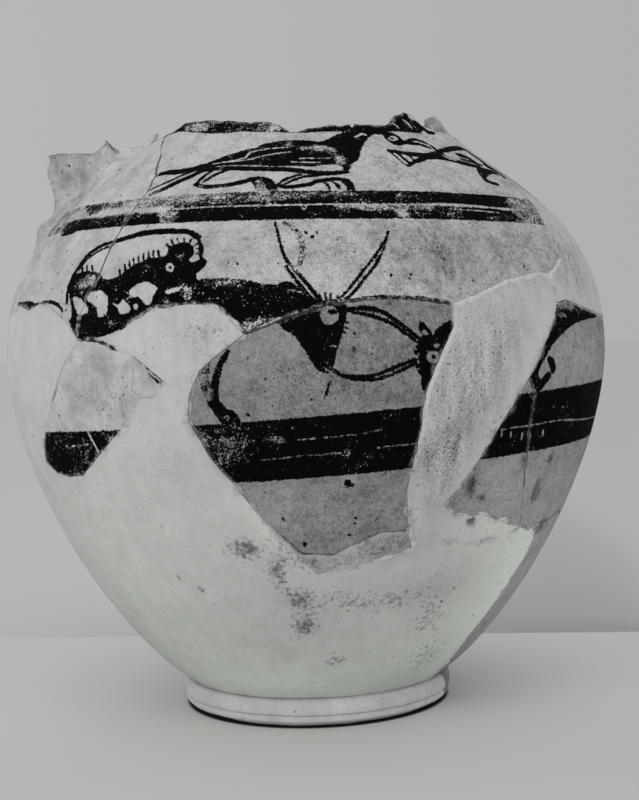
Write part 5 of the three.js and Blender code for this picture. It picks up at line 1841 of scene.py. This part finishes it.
def floor_level(x, y):
    """How bright the floor is at a place in metres, with light and shade painted in: a painted pool
    of light round the jar and painted fall-off towards the front, a painted contact shadow under
    its foot, and behind the line where the backdrop paper bends a painted darker tone that falls
    off to the right, with a painted shadow behind the jar and in the corner at the right that the
    jar keeps from the light."""
    away = (x * x + y * y).op("SQRT")
    # Painted light: paler round the jar, and darker towards the front.
    front = 1 + 0.12 * away.smooth(0.42, 0.15) - 0.1 * y.smooth(0.0, -0.2)
    line = y - WALL_LINE[0] - x * WALL_LINE[1]
    # Painted shadow of the jar, behind it and to the right.
    across, deep = (x - 0.16 - y * 0.12) / 0.15, y - 0.27
    shade = (across * across + deep * deep).smooth(1.0, 0.0)
    # Painted shade along the line at the right.
    corner = line.smooth(0.08, 0.0) * x.smooth(0.1, 0.25) * x.smooth(0.9, 0.4)
    # Behind the line: a painted darker backdrop that falls off to the right.
    back = 0.95 - 0.06 * (x / (y.either(0.0) + 1)).smooth(0.0, 0.16) - 0.15 * shade - 0.1 * corner
    level = front + (back - front) * line.smooth(-0.002, 0.002)
    # Painted contact shadow: nearly black under the foot ring.
    return level * (1 - 0.96 * away.smooth(PAINTED_SHADOW_RADIUS + 0.002, PAINTED_SHADOW_RADIUS - 0.001))


def stage_material():
    f = Finish("stage")
    x, y = (f.node("ShaderNodeSeparateXYZ", {}, {0: f.place}, k) for k in (0, 1))
    f.link(f.scaled(grey(FLOOR_LEVEL), floor_level(x, y)), f.shader.inputs["Base Color"])
    f.shader.inputs["Roughness"].default_value = 1.0
    f.shader.inputs["Specular IOR Level"].default_value = 0.0
    return f.material


def make_floor():
    half = FLOOR_SIZE / 2
    mesh = bpy.data.meshes.new("floor_stage")
    mesh.from_pydata([(-half, -half, 0), (half, -half, 0), (half, half, 0), (-half, half, 0)],
                     [], [(0, 1, 2, 3)])
    mesh.materials.append(stage_material())
    floor = bpy.data.objects.new("floor_stage", mesh)
    bpy.context.scene.collection.objects.link(floor)
    return floor


make_floor()


# %% [markdown]
# ## World and light
# The world lights the jar evenly from all sides, but the camera sees a plain grey in its place,
# with painted shade that makes it a little darker at the right, as in the photograph. A large soft
# lamp stands at the left like a window. A weaker one at the right and a low one in front open the
# shadows. The level is plain, so a colour comes out about as it is written.

# %% World and lamps
WORLD_LIGHT = 0.86
WALL_LEVEL = 0.487
PAINTED_WALL_FALL = 0.048
WALL_SPAN = 0.3


def make_world(strength):
    world = bpy.data.worlds.new("world")
    bpy.context.scene.world = world
    world.use_nodes = True
    graph = Graph(world.node_tree)
    background = next(n for n in graph.tree.nodes if n.type == "BACKGROUND")
    background.inputs["Color"].default_value = (1, 1, 1, 1)
    background.inputs["Strength"].default_value = strength
    aim = graph.node("ShaderNodeTexCoord", {}, {}, "Generated")
    x = graph.node("ShaderNodeSeparateXYZ", {}, {0: aim}, 0)
    # Painted shade: the backdrop that the camera sees grows darker towards the right.
    level = WALL_LEVEL - x.smooth(-WALL_SPAN, WALL_SPAN) * PAINTED_WALL_FALL
    parts = {k: level * part for k, part in enumerate(grey(1.0)[:3])}
    colour = graph.node("ShaderNodeCombineXYZ", {}, parts)
    seen = graph.node("ShaderNodeBackground", {}, {"Color": colour, "Strength": 1.0})
    camera_ray = graph.node("ShaderNodeLightPath", {}, {}, "Is Camera Ray")
    lit = Socket(graph, background.outputs[0])
    mixed = graph.node("ShaderNodeMixShader", {}, {0: camera_ray, 1: lit, 2: seen})
    output = next(n for n in graph.tree.nodes if n.type == "OUTPUT_WORLD")
    graph.link(mixed, output.inputs["Surface"])


def make_lamp(name, place, aim, size, power):
    data = bpy.data.lights.new(name, "AREA")
    data.shape = "DISK"
    data.size = size
    data.energy = power
    lamp = bpy.data.objects.new(name, data)
    bpy.context.scene.collection.objects.link(lamp)
    lamp.location = place
    lamp.rotation_euler = (Vector(aim) - Vector(place)).to_track_quat("-Z", "Y").to_euler()
    return lamp


make_world(WORLD_LIGHT)
make_lamp("window", place=(-1.7, -1.6, 0.5), aim=(0, 0, 0.2), size=1.4, power=19)
make_lamp("fill", place=(1.7, -1.5, 0.6), aim=(0, 0, 0.2), size=1.4, power=6)
make_lamp("low", place=(0.1, -1.5, 0.12), aim=(0, 0, 0.1), size=0.7, power=3)
bpy.context.scene.view_settings.view_transform = "Standard"
